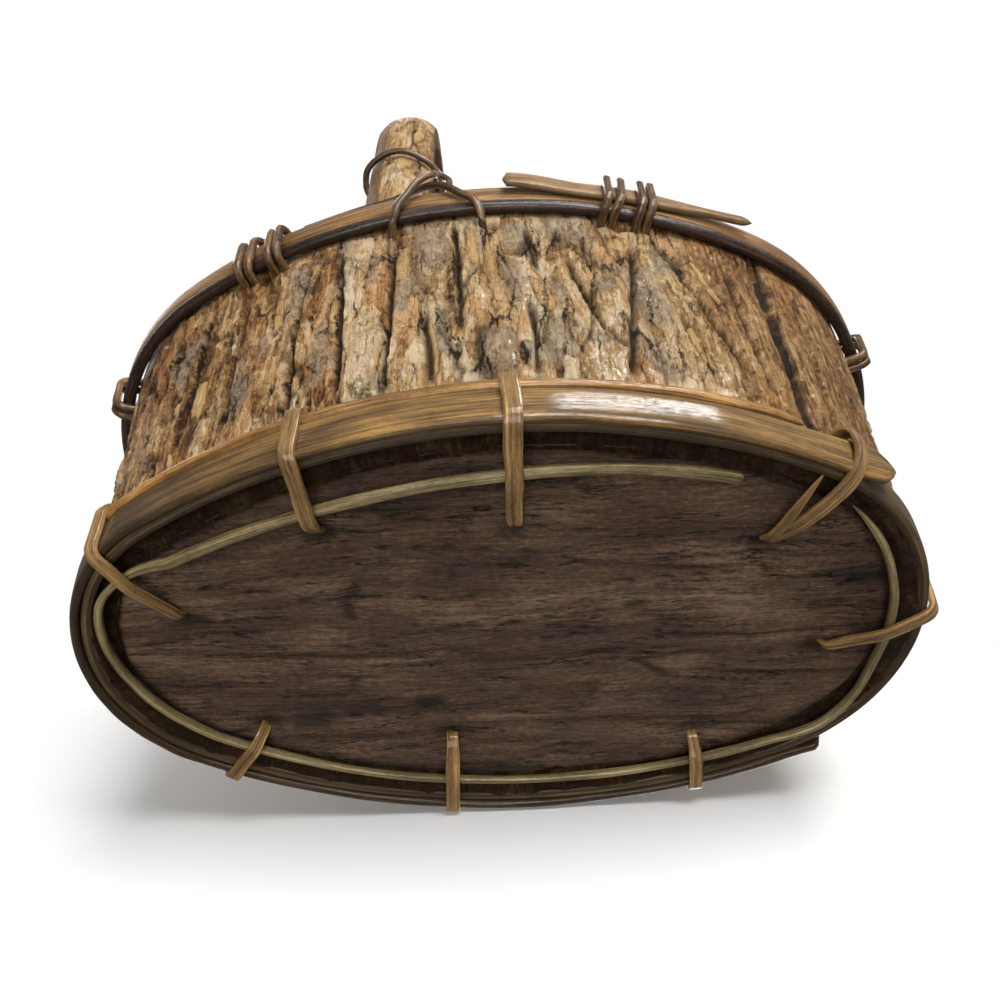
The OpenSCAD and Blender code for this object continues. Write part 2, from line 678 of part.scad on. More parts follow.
// Cane by the handle's foot, at the front or mirrored to the back
module handle_cane(route, back, name) {
    color("#4a3223") mirror([0, back ? 1 : 0, 0])
        tube(spline(route, curve_steps), [0, 0, 1], lashing_diameter, name);
}

wall_bark();
base_board();
base_under_band();
base_outer_band();
base_filler_cane();
base_inner_hoop();
stitch(FRONT_LEFT);  // stitch_front_left
stitch(FRONT_MIDDLE);  // stitch_front_middle
stitch(FRONT_RIGHT);  // stitch_front_right
stitch(RIGHT_END);  // stitch_right_end
stitch(BACK_RIGHT);  // stitch_back_right
stitch(BACK_MIDDLE);  // stitch_back_middle
stitch(BACK_LEFT);  // stitch_back_left
stitch(LEFT_END);  // stitch_left_end
rim_outer_hoop();
rim_flat_hoop();
rim_lap_strip();
lashing(LASH_FRONT_LEFT, "lashing_front_left");  // lashing_front_left
lashing(LASH_FRONT_RIGHT, "lashing_front_right");  // lashing_front_right
lashing(LASH_RIGHT_END, "lashing_right_end");  // lashing_right_end
lashing(LASH_BACK_RIGHT, "lashing_back_right");  // lashing_back_right
lashing(LASH_BACK_LEFT, "lashing_back_left");  // lashing_back_left
lashing(LASH_LEFT_END, "lashing_left_end");  // lashing_left_end
handle_branch();
handle_cane(tie_route(), false, "handle_tie_front");  // handle_tie_front
handle_cane(brace_route(), false, "handle_brace_front");  // handle_brace_front
handle_cane(tie_route(), true, "handle_tie_back");  // handle_tie_back
handle_cane(brace_route(), true, "handle_brace_back");  // handle_brace_back
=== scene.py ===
"""Bark basket: the looks of its bark, canes, stitches and handle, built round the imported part."""

import math

import bpy
import numpy as np
from mathutils import Matrix


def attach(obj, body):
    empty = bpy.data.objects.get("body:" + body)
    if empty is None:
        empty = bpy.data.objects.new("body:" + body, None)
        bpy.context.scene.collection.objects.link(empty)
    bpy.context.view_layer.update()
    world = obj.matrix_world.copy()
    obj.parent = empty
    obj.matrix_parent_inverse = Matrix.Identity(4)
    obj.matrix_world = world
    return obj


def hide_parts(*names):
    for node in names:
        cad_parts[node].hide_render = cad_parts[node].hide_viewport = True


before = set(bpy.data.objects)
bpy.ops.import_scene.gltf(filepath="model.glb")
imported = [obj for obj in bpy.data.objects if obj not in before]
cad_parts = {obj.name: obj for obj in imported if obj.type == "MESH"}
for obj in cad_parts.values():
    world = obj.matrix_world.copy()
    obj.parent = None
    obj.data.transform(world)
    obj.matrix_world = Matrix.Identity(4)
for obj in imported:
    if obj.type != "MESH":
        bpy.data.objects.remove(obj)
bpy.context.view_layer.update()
bpy.ops.object.select_all(action="DESELECT")

# Bark wall: one thick sheet of tree bark with its furrowed outside left on, bent green into a
# flared oval. Its two ends butt at a dark seam to the right of the front. It stands on the
# stitches at its foot, and the canes sewn round foot and rim hold it in shape. Sizes in mm.
FLARE = math.radians(14.6)
FOOT_Z = 1.3 + 2.8 * math.cos(FLARE)
WALL_HEIGHT = 87.0
SLOPE = WALL_HEIGHT / math.cos(FLARE)
RIM_OUT = WALL_HEIGHT * math.tan(FLARE)
FOOT_BARK = 5.0 / math.cos(FLARE)
RIM_BARK = 4.5 / math.cos(FLARE)
SEAM = -67.0
SEAM_HALF = 0.09

HALF_WIDTH, SIDE_RADIUS, LEFT_RADIUS, RIGHT_RADIUS = 47.7, 141.0, 33.5, 39.0
SIDE_CENTRE = SIDE_RADIUS - HALF_WIDTH
RIGHT_CENTRE = math.sqrt((HALF_WIDTH - RIGHT_RADIUS) * (2 * SIDE_RADIUS - RIGHT_RADIUS - HALF_WIDTH))
LEFT_CENTRE = math.sqrt((HALF_WIDTH - LEFT_RADIUS) * (2 * SIDE_RADIUS - LEFT_RADIUS - HALF_WIDTH))
RIGHT_TURN = math.degrees(math.atan2(RIGHT_CENTRE, SIDE_CENTRE))
LEFT_TURN = math.degrees(math.atan2(LEFT_CENTRE, SIDE_CENTRE))
SHIFT = (LEFT_CENTRE + LEFT_RADIUS - RIGHT_CENTRE - RIGHT_RADIUS) / 2
ARCS = np.array([
    (SHIFT + RIGHT_CENTRE, 0, RIGHT_RADIUS, RIGHT_TURN - 90),
    (SHIFT, -SIDE_CENTRE, SIDE_RADIUS, 90 - RIGHT_TURN),
    (SHIFT - LEFT_CENTRE, 0, LEFT_RADIUS, 90 + LEFT_TURN),
    (SHIFT, SIDE_CENTRE, SIDE_RADIUS, 270 - LEFT_TURN),
])


def outline(angle, out):
    """The oval foot line by compass angle, moved outwards: -90 is the front, 0 the right end."""
    turn = (np.asarray(angle, float) - ARCS[0, 3]) % 360 + ARCS[0, 3]
    arc = ARCS[np.searchsorted(ARCS[:, 3], turn, side="right") - 1]
    radius, turn = arc[..., 2] + out, np.radians(turn)
    return arc[..., 0] + radius * np.cos(turn), arc[..., 1] + radius * np.sin(turn)


def walk(start, stop, step):
    """Compass angles between two others, evenly spaced along the middle of the wall."""
    turn = np.linspace(start, stop, 8001)
    x, y = outline(turn, RIM_OUT / 2)
    along = np.concatenate([[0], np.cumsum(np.hypot(np.diff(x), np.diff(y)))])
    count = max(2, int(round(along[-1] / step)) + 1)
    return np.interp(np.linspace(0, along[-1], count), along, turn)


def mottle(x, y, seed):
    """A smooth random field with features about one unit across, from -1 to 1."""
    dice = np.random.RandomState(seed)
    shuffle, lean = dice.permutation(1024), dice.uniform(0, 2 * np.pi, 1024)
    ix, iy = np.floor(x).astype(int), np.floor(y).astype(int)
    fx, fy = x - ix, y - iy
    ease_x, ease_y = fx * fx * (3 - 2 * fx), fy * fy * (3 - 2 * fy)

    def slope(a, b):
        k = lean[shuffle[(shuffle[(ix + a) % 1024] + iy + b) % 1024]]
        return np.cos(k) * (fx - a) + np.sin(k) * (fy - b)

    low = slope(0, 0) + ease_x * (slope(1, 0) - slope(0, 0))
    high = slope(0, 1) + ease_x * (slope(1, 1) - slope(0, 1))
    return 1.6 * (low + ease_y * (high - low))


def plates(x, y, seed):
    """Cells about one unit across: distance to the nearest edge, and each cell's own tone."""
    dice = np.random.RandomState(seed)
    shuffle = dice.permutation(1024)
    place_x, place_y, tones = dice.rand(3, 1024)
    ix, iy = np.floor(x).astype(int), np.floor(y).astype(int)
    near, after, tone = np.full(x.shape, 9.0), np.full(x.shape, 9.0), np.zeros(x.shape)
    for a in (-1, 0, 1):
        for b in (-1, 0, 1):
            k = shuffle[(shuffle[(ix + a) % 1024] + iy + b) % 1024]
            reach = np.hypot(ix + a + place_x[k] - x, iy + b + place_y[k] - y)
            after = np.where(reach < near, near, np.minimum(after, reach))
            tone = np.where(reach < near, tones[k], tone)
            near = np.minimum(near, reach)
    return after - near, tone


def ramp(value, low, high):
    """0 below low, 1 above high, eased between."""
    t = np.clip((value - low) / (high - low), 0, 1)
    return t * t * (3 - 2 * t)


def bark_relief(s, v, seed):
    """Bark s mm across its grain and v mm along it: height, tone, cracks and ragged places."""
    ragged_s = s + 1.5 * mottle(s / 8, v / 16, seed) + 0.8 * mottle(s / 2.2, v / 3.6, seed + 1)
    ragged_v = v + 6 * mottle(s / 6, v / 14, seed + 2) + 2.6 * mottle(s / 2.0, v / 4, seed + 3)
    plate_edge, plate_tone = plates(ragged_s / 9.5, ragged_v / 58, seed + 4)
    flake_edge, flake_tone = plates(ragged_s / 4.6, ragged_v / 21, seed + 5)
    chip_edge, chip_tone = plates(ragged_s / 1.8, ragged_v / 4.0, seed + 6)
    furrow = 1 - ramp(plate_edge, 0.02, 0.09)
    split = (1 - ramp(flake_edge, 0.0, 0.1)) * ramp(mottle(s / 11, v / 17, seed + 11), -0.1, 0.4)
    layer = 0.55 * plate_tone + 0.45 * flake_tone
    rough = mottle(s / 1.0, v / 1.4, seed + 7)
    height = (
        1.4 * (layer - 0.5) + 0.4 * (chip_tone - 0.5) * ramp(flake_tone, 0.2, 0.6)
        - 0.6 * furrow - 0.2 * split - 0.1 * (1 - ramp(chip_edge, 0, 0.2))
        + 0.2 * mottle(s / 1.2, v / 11, seed + 9) + 0.2 * rough
    )
    tone = 0.45 * layer + 0.3 * chip_tone + 0.25 * (0.5 + 0.5 * mottle(s / 14, v / 26, seed + 10))
    dark_marks = np.clip(0.7 * furrow + 0.3 * split, 0, 1)
    return height, tone, dark_marks, ragged_s, ragged_v


COLUMNS, OUTER_ROWS, TOP_ROWS, INNER_ROWS, FOOT_ROWS = 640, 104, 6, 18, 10
turn = np.linspace(SEAM + SEAM_HALF, SEAM + 360 - SEAM_HALF, 20001)
mid_x, mid_y = outline(turn, RIM_OUT / 2)
along = np.concatenate([[0], np.cumsum(np.hypot(np.diff(mid_x), np.diff(mid_y)))])
closeness = 1 + 1.5 * np.exp(-((((turn + 272) % 360) - 180) / 42) ** 2)
gathered = np.concatenate([[0], np.cumsum(np.diff(along) * closeness[1:])])
column = np.interp(np.linspace(0, gathered[-1], COLUMNS), gathered, turn)
column_s = np.interp(column, turn, along)


def along_at(angle):
    """How far along the sheet, from the seam, a compass angle lies."""
    return np.interp((angle - SEAM) % 360 + SEAM, turn, along)


S, UP = np.meshgrid(column_s, np.linspace(0, SLOPE, OUTER_ROWS))
height, tone, dark_marks, ragged_s, ragged_v = bark_relief(S, UP, 11)
bare = 0.55 * ramp(mottle(ragged_s / 4, ragged_v / 24, 41), 0.3, 0.75)
grey = 0.72 * ramp(mottle(ragged_s / 10, ragged_v / 18, 42), 0.0, 0.6)
# The bark is smoother and redder towards the seam and beyond it
worn = np.maximum(ramp(S, along_at(-76), along_at(-71)), 1 - ramp(S, along_at(-40), along_at(-20)))
height = height * (1 - 0.6 * worn)
# Painted shade: from the back left, round the left end to the front left, the bark is painted darker, as on
# the side that turns away from the lamps.
painted_shade = ramp(S, along_at(150), along_at(190)) * (1 - ramp(S, along_at(-122), along_at(-100)))
tone = tone - 0.66 * painted_shade - 0.12 * worn
dark_marks = dark_marks * (1 - 0.7 * worn)
grey, bare = grey * (1 - 0.8 * worn), bare * (1 - 0.5 * worn)

# Lost flakes that show the tan underbark, grey weathered plates that stand proud, pits and a knot:
# compass angle, height, half width, half height, lean, lift, bareness, greyness
for angle, up, wide, tall, lean, lift, bares, greys in (
    (-98.7, 62, 2.6, 9, 0.0, -0.9, 1.0, 0.0), (-92.7, 66, 1.5, 9, 0.0, -0.7, 0.8, 0.0),
    (-91.2, 62, 1.9, 12, 0.0, -0.8, 0.9, 0.0), (-87.3, 44.5, 2.1, 7.5, 0.28, -0.9, 1.0, 0.0),
    (-80.5, 69.5, 2.1, 3.2, 0.0, -0.6, 0.9, 0.0), (-80.9, 48, 0.9, 6, 0.1, -0.6, 0.8, 0.0),
    (-104.5, 45, 1.8, 12, 0.0, -0.5, 0.75, 0.0), (-110, 55, 1.5, 10, 0.0, -0.5, 0.7, 0.0),
    (-73.0, 60, 1.2, 11, 0.25, -0.4, 0.7, 0.0), (-75.2, 30, 1.2, 9, 0.3, -0.4, 0.7, 0.0),
    (-117, 34, 1.7, 10, 0.0, -0.5, 0.7, 0.0), (-96.4, 25, 1.2, 9, 0.0, -0.4, 0.7, 0.0),
    (-91.4, 22, 4.3, 8.5, 0.0, 1.3, 0.0, 1.0), (-86.6, 27, 3.2, 8, 0.0, 0.7, 0.0, 0.95),
    (-78.6, 45, 4.6, 14, 0.1, 0.7, 0.0, 0.85), (-96.2, 68, 4.6, 15, 0.0, 0.6, 0.0, 0.75),
    (-84.4, 72, 5.0, 8, 0.2, 0.6, 0.0, 0.8), (-89.6, 50, 2.6, 12, 0.1, 0.5, 0.0, 0.7),
    (-103.6, 70, 3.4, 12, 0.0, 0.5, 0.0, 0.6), (-112.5, 34, 3.2, 14, 0.0, 0.5, 0.0, 0.6),
    (-89.0, 21.5, 1.6, 2.2, 0.0, 1.7, 0.0, 0.9), (-84.5, 53.8, 1.2, 1.3, 0.0, -1.5, 0.0, 0.0),
    (-83.2, 44.8, 1.3, 1.5, 0.0, 1.3, 0.0, 0.5),
):
    aside = ragged_s * 0.6 + S * 0.4 - along_at(angle) + lean * (UP - up)
    place = np.exp(-((aside / wide) ** 4) - ((0.5 * ragged_v + 0.5 * UP - up) / tall) ** 4)
    height = height + place * (lift - 0.5 * height)
    dark_marks = dark_marks * (1 - place)
    bare = np.maximum(bare * (1 - place), bares * place)
    grey = np.maximum(grey * (1 - place), greys * place)
    # Painted shadow: a dark line along one side of each place, darker where a plate stands up most, as cast
    # by its edge.
    dark_marks = np.maximum(
        dark_marks, (3.2 if lift > 1 else 2.0) * place * (1 - place) * ramp(-aside, -0.4 * wide, 0.6 * wide)
    )

# Furrows that run up the bark: compass angle, from and to as shares of the slope, lean in degrees.
# Those of the front are placed one by one, the others follow the ends and the back.
FURROWS = [
    (-122, 0.15, 0.76, 0), (-117.8, 0.27, 0.86, 1), (-113.5, 0.22, 0.8, 0), (-108, 0.15, 0.66, 1),
    (-104.2, 0.17, 0.86, -1), (-99.9, 0.15, 0.8, 1), (-96.8, 0.15, 0.46, -3), (-94.2, 0.33, 0.86, 0),
    (-88.4, 0.15, 0.48, 0), (-88, 0.59, 0.86, -7), (-84, 0.33, 0.69, -11), (-80.2, 0.16, 0.8, 7),
    (-74, 0.25, 0.84, -16), (-70.2, 0.22, 0.86, -3),
]
for arc, stop in zip(ARCS[:3], ARCS[1:, 3]):
    count = round(math.radians(stop - arc[3]) * (arc[2] + RIM_OUT / 2) / 13)
    for angle in arc[3] + (stop - arc[3]) * (np.arange(count) + 0.5) / count:
        rises = [0.5 + 0.5 * math.sin(math.radians(k * angle)) for k in (7, 11)]
        slant = 3 * math.sin(math.radians(5 * angle))
        FURROWS.append((angle, 0.15 + 0.17 * rises[0], 0.81 - 0.2 * rises[1], slant))
height = np.clip(height, -1.3, 1.3)
for angle, low, high, lean in FURROWS:
    low, high = low * SLOPE, high * SLOPE
    aside = (ragged_s * 0.35 + S * 0.65 - along_at(angle) + along[-1] / 2) % along[-1] - along[-1] / 2
    near = np.abs(aside - math.tan(math.radians(lean)) * (UP - (low + high) / 2))
    width = 0.75 + 0.35 * mottle(S / 9 + angle, UP / 6, 46)
    cut = (1 - ramp(near, 0.35 * width, 1.5 * width)) * ramp(UP, low - 1, low + 6)
    cut = cut * (1 - ramp(UP, high - 6, high + 1))
    height, dark_marks = height + cut * (-1.7 - 0.6 * height), np.maximum(dark_marks, cut)

# Holes that the stitches, lashings and handle canes go into: compass angle, height
STITCH_UP, LASH_UP = 9.8, SLOPE - 12.2
for angle, up in [(a, STITCH_UP) for a in (-106.5, -90.8, -65, -6, 74, 97, 117, -135)] + [
    (a, LASH_UP) for a in (-112, -79.5, -27, 79, 112, -158)
] + [(-98.8, 77.1), (-91.0, 75.0), (98.8, 77.1), (91.0, 75.0)]:
    hole = np.exp(-(((S - along_at(angle)) / 2.0) ** 2) - ((UP - up) / 1.4) ** 2)
    height, dark_marks = height - 1.5 * hole, np.maximum(dark_marks, 0.9 * hole)

# Under the canes the bark is pressed flat, and at the seam its edges are worn round
seam_edge = np.minimum(S, along[-1] - S)
height = np.clip(height, -2.4, 1.6) - 2.4 * (1 - ramp(seam_edge, 0.2, 1.7))
dark_marks = np.maximum(dark_marks, 1 - ramp(seam_edge + 0.6 * mottle(S / 2, UP / 4, 43), 1.1, 1.9))
pressed = np.maximum(1 - ramp(UP, 7.5, 10.0), ramp(UP, SLOPE - 12, SLOPE - 9.5))
height = np.where(pressed > 0, height + pressed * (np.minimum(height * 0.5 - 0.3, -0.05) - height), height)

radial = UP * math.sin(FLARE) + height * math.cos(FLARE)
level = FOOT_Z + UP * math.cos(FLARE) - height * math.sin(FLARE)
level = np.maximum(level, FOOT_Z + 0.2)

# Cut edge at the top, smooth inside, and the rough edge at the foot, each from row to row
across = np.linspace(0, 1, TOP_ROWS + 2)[1:-1, None]
s_top, f_top = np.broadcast_arrays(column_s[None], across)
top_radial = RIM_OUT - RIM_BARK * f_top
top_level = (
    FOOT_Z + WALL_HEIGHT - 0.5 * (2 * f_top - 1) ** 4 + 0.35 * mottle(s_top / 3, f_top * 4, 51) - 0.3
)
down = np.linspace(0, 1, INNER_ROWS)[:, None]
s_in, d_in = np.broadcast_arrays(column_s[None], down)
in_radial = (RIM_OUT - RIM_BARK) * (1 - d_in) - FOOT_BARK * d_in + 0.25 * mottle(s_in / 4, d_in * 5, 52)
in_level = FOOT_Z + 0.4 + (WALL_HEIGHT - 0.8) * (1 - d_in)
out = np.linspace(0, 1, FOOT_ROWS + 2)[1:-1, None]
s_foot, f_foot = np.broadcast_arrays(column_s[None], out)
# Torn foot: it hangs down outside the hoop that lies under it, and is broken away at the front. The
# hoop was bent by hand, so its distance from the foot line wanders: compass angle, distance
HOOP_LINE = np.array([
    (-58, 3.6), (-46, 4.6), (-25, 5.6), (0, 5.9), (16, 5.6), (34, 3.2), (48, 2.0), (58, 2.8), (67, 4.0),
    (86, 5.6), (97, 5.8), (106, 5.6),
    (115, 5.9), (132, 6.6), (150, 6.0), (165, 5.2), (180, 3.8), (196, 2.4), (207, 2.0), (224, 4.2),
    (243, 8.0), (252, 9.5), (260, 9.7),
    (268, 9.2), (278, 7.4), (289, 5.4),
])


def hoop_inset(angle):
    """How far inside the foot line the hoop under the base lies."""
    turn = np.arange(-58, 290, 1.0)
    line = np.interp(turn, HOOP_LINE[:, 0], HOOP_LINE[:, 1])
    line = np.convolve(np.pad(line, 6, mode="edge"), np.hanning(15)[1:-1] / np.hanning(15).sum(), "valid")
    return np.interp((np.asarray(angle) + 64) % 360 - 64, turn, line)


torn = 1.0 * mottle(s_foot / 6, f_foot * 2.2, 53) + 0.6 * mottle(s_foot / 1.8, f_foot * 6, 54)
foot_radial = -FOOT_BARK * (1 - f_foot) + 0.3 * mottle(s_foot / 3, f_foot * 3, 55)
broken = ramp((column + 235) % 360, 85, 100) * (1 - ramp((column + 235) % 360, 160, 172))
hangs = (1 - broken)[None] * ramp(hoop_inset(column)[None] - 1.4 + foot_radial, 0.0, 0.8)
foot_level = FOOT_Z + 0.1 + np.clip(
    0.9 + torn + 1.2 * (2 * f_foot - 1) ** 6, 0, 2.8
) - hangs * (2.3 + 0.4 * torn)

rows_radial = np.vstack([radial, top_radial, in_radial, foot_radial])
rows_level = np.vstack([level, top_level, in_level, foot_level])
seam_side = np.exp(-np.minimum(column_s, along[-1] - column_s) / 2.5)
midline = 0 * rows_radial + 0.5
uneven = 0.4 * mottle(midline, rows_level / 9, 44) + 0.2 * mottle(midline, rows_level / 2, 45)
ring_x, ring_y = outline(column[None] + seam_side[None] * uneven, rows_radial)
ring = np.stack([ring_x, ring_y, rows_level], -1)
side = np.vstack([0 * height, 0 * top_radial + 1, 0 * in_radial + 0.5, 0 * foot_radial + 1])
# The dark channel of the paint holds the cracks and also painted shade: on the outer face low down under the
# foot canes, at the bottom of the inside face by the board, and over the torn foot edge, whose dark brown is
# painted almost black.
paint = np.stack([
    np.vstack([
        tone, 0.4 + 0.3 * mottle(s_top / 3, f_top * 6, 56), 0.5 + 0.25 * mottle(s_in / 5, d_in * 3, 57),
        0.12 + 0.2 * mottle(s_foot / 9, f_foot * 8, 58),
    ]),
    np.vstack([
        np.maximum(dark_marks, 0.9 * (1 - ramp(UP, 5, 8))), 0 * top_radial, 0.92 * ramp(d_in, 0.8, 0.93),
        0.9 + 0.06 * mottle(s_foot / 4, f_foot * 5, 59),
    ]),
    np.vstack([bare, 0 * top_radial, 0 * in_radial, 0 * foot_radial]),
    np.vstack([grey, 0 * top_radial, 0 * in_radial, 0 * foot_radial]),
], -1)
way = np.stack([
    np.broadcast_to(column_s[None], rows_radial.shape),
    np.vstack([UP, SLOPE + RIM_BARK * f_top, SLOPE + 5 + SLOPE * d_in, 2 * SLOPE + 5 + 6 * f_foot]),
    side,
], -1)
worn_rows = np.vstack([worn, 0 * top_radial + 0.5, 0 * in_radial + 0.8, 0 * foot_radial + 1])


def knit(name, ring, closed_rows, closed_columns, way, paint=None, worn=None):
    """A closed skin over rows and columns of points in mm, with its own surface places and tones."""
    rows, columns = ring.shape[:2]
    index = np.arange(rows * columns).reshape(rows, columns)
    below = np.roll(index, -1, 0) if closed_rows else index[1:]
    here = index if closed_rows else index[:-1]
    if closed_columns:
        quads = np.stack(
            [here, np.roll(here, -1, 1), np.roll(below, -1, 1), below], -1
        ).reshape(-1, 4).tolist()
        caps = []
    else:
        quads = np.stack(
            [here[:, :-1], here[:, 1:], below[:, 1:], below[:, :-1]], -1
        ).reshape(-1, 4).tolist()
        caps = [index[:, 0].tolist(), index[::-1, -1].tolist()]
    mesh = bpy.data.meshes.new(name)
    mesh.from_pydata((ring.reshape(-1, 3) * 0.001).tolist(), [], quads + caps)
    mesh.attributes.new("way", "FLOAT_VECTOR", "POINT").data.foreach_set(
        "vector", way.reshape(-1).astype(np.float32)
    )
    if paint is not None:
        mesh.attributes.new("paint", "FLOAT_COLOR", "POINT").data.foreach_set(
            "color", paint.reshape(-1).astype(np.float32)
        )
    if worn is not None:
        mesh.attributes.new("worn", "FLOAT", "POINT").data.foreach_set(
            "value", worn.reshape(-1).astype(np.float32)
        )
    piece = bpy.data.objects.new(name, mesh)
    bpy.context.collection.objects.link(piece)
    bpy.context.view_layer.objects.active = piece
    piece.select_set(True)
    bpy.ops.object.mode_set(mode="EDIT")
    bpy.ops.mesh.select_all(action="SELECT")
    bpy.ops.mesh.normals_make_consistent(inside=False)
    bpy.ops.object.mode_set(mode="OBJECT")
    bpy.ops.object.shade_smooth_by_angle(angle=math.radians(55))
    piece.select_set(False)
    return piece


def dress(piece, node_name, material):
    """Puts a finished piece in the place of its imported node."""
    piece.data.materials.append(material)
    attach(piece, "root")
    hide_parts(node_name)


def blank(name, roughness):
    """A new material with one shader, and short ways to add and join nodes."""
    material = bpy.data.materials.new(name)
    material.use_nodes = True
    tree = material.node_tree
    shader = tree.nodes["Principled BSDF"]
    shader.inputs["Roughness"].default_value = roughness

    def add(kind, links=(), **settings):
        node = tree.nodes.new(kind)
        for key, value in settings.items():
            if key in node.inputs:
                node.inputs[key].default_value = value
            else:
                setattr(node, key, value)
        for key, source in links:
            tree.links.new(source, node.inputs[key])
        return node

    return material, tree, shader, add


def stretched(add, place, scale, detail, rough=0.55):
    """Noise on a surface place, stretched by its own scale each way."""
    mapped = add("ShaderNodeMapping", [("Vector", place)], Scale=scale)
    return add(
        "ShaderNodeTexNoise", [("Vector", mapped.outputs[0])], Scale=1.0, Detail=detail, Roughness=rough
    ).outputs["Fac"]


def sums(add, *terms):
    """Adds up value times weight."""
    total = None
    for source, weight in terms:
        part = add("ShaderNodeMath", [(0, source)], operation="MULTIPLY")
        part.inputs[1].default_value = weight
        if total is not None:
            both = add("ShaderNodeMath", [(0, total), (1, part.outputs[0])], operation="ADD")
            total = both.outputs[0]
        else:
            total = part.outputs[0]
    return total


def blended(add, factor, first, second):
    """Mixes two colours; either one may be a plain colour."""
    node = add("ShaderNodeMix", [(0, factor)], data_type="RGBA")
    for socket, value in ((6, first), (7, second)):
        if isinstance(value, tuple):
            node.inputs[socket].default_value = (*value, 1)
        else:
            node.id_data.links.new(value, node.inputs[socket])
    return node.outputs[2]


def shades(add, value, *stops):
    """A colour ramp from stops of place and colour."""
    node = add("ShaderNodeValToRGB", [(0, value)])
    band = node.color_ramp
    while len(band.elements) < len(stops):
        band.elements.new(1.0)
    for element, (place, colour) in zip(band.elements, stops):
        element.position, element.color = place, (*colour, 1)
    return node.outputs[0]


def jagged(add, place, scale, reach):
    """A surface place pushed about by noise, so that what is drawn on it has torn edges."""
    mapped = add("ShaderNodeMapping", [("Vector", place)], Scale=scale)
    push = add("ShaderNodeTexNoise", [("Vector", mapped.outputs[0])], Scale=1.0, Detail=4.0, Roughness=0.6)
    moved = add("ShaderNodeVectorMath", [(0, push.outputs["Color"]), (2, place)], operation="MULTIPLY_ADD")
    moved.inputs[1].default_value = reach
    return moved.outputs[0]


def flakes(add, place, wide, tall):
    """Flakes of a size on a surface place: each one's own tone and hue, and a thin line round it."""
    mapped = add("ShaderNodeMapping", [("Vector", place)], Scale=(1 / wide, 1 / tall, 1))
    cell = add("ShaderNodeTexVoronoi", [("Vector", mapped.outputs[0])], Scale=1.0, voronoi_dimensions="2D")
    own = add("ShaderNodeSeparateColor", [(0, cell.outputs["Color"])])
    edge = add(
        "ShaderNodeTexVoronoi", [("Vector", mapped.outputs[0])], Scale=1.0, voronoi_dimensions="2D",
        feature="DISTANCE_TO_EDGE"
    )
    return own.outputs[0], own.outputs[1], between(add, edge.outputs["Distance"], 0.06, 0.012)


def between(add, value, low, high, start=0.0, stop=1.0):
    """A value stretched from one range to another and held inside it."""
    node = add("ShaderNodeMapRange", [("Value", value)])
    for socket, number in zip(("From Min", "From Max", "To Min", "To Max"), (low, high, start, stop)):
        node.inputs[socket].default_value = number
    return node.outputs[0]


def times(add, first, second):
    """The product of two values."""
    return add("ShaderNodeMath", [(0, first), (1, second)], operation="MULTIPLY").outputs[0]


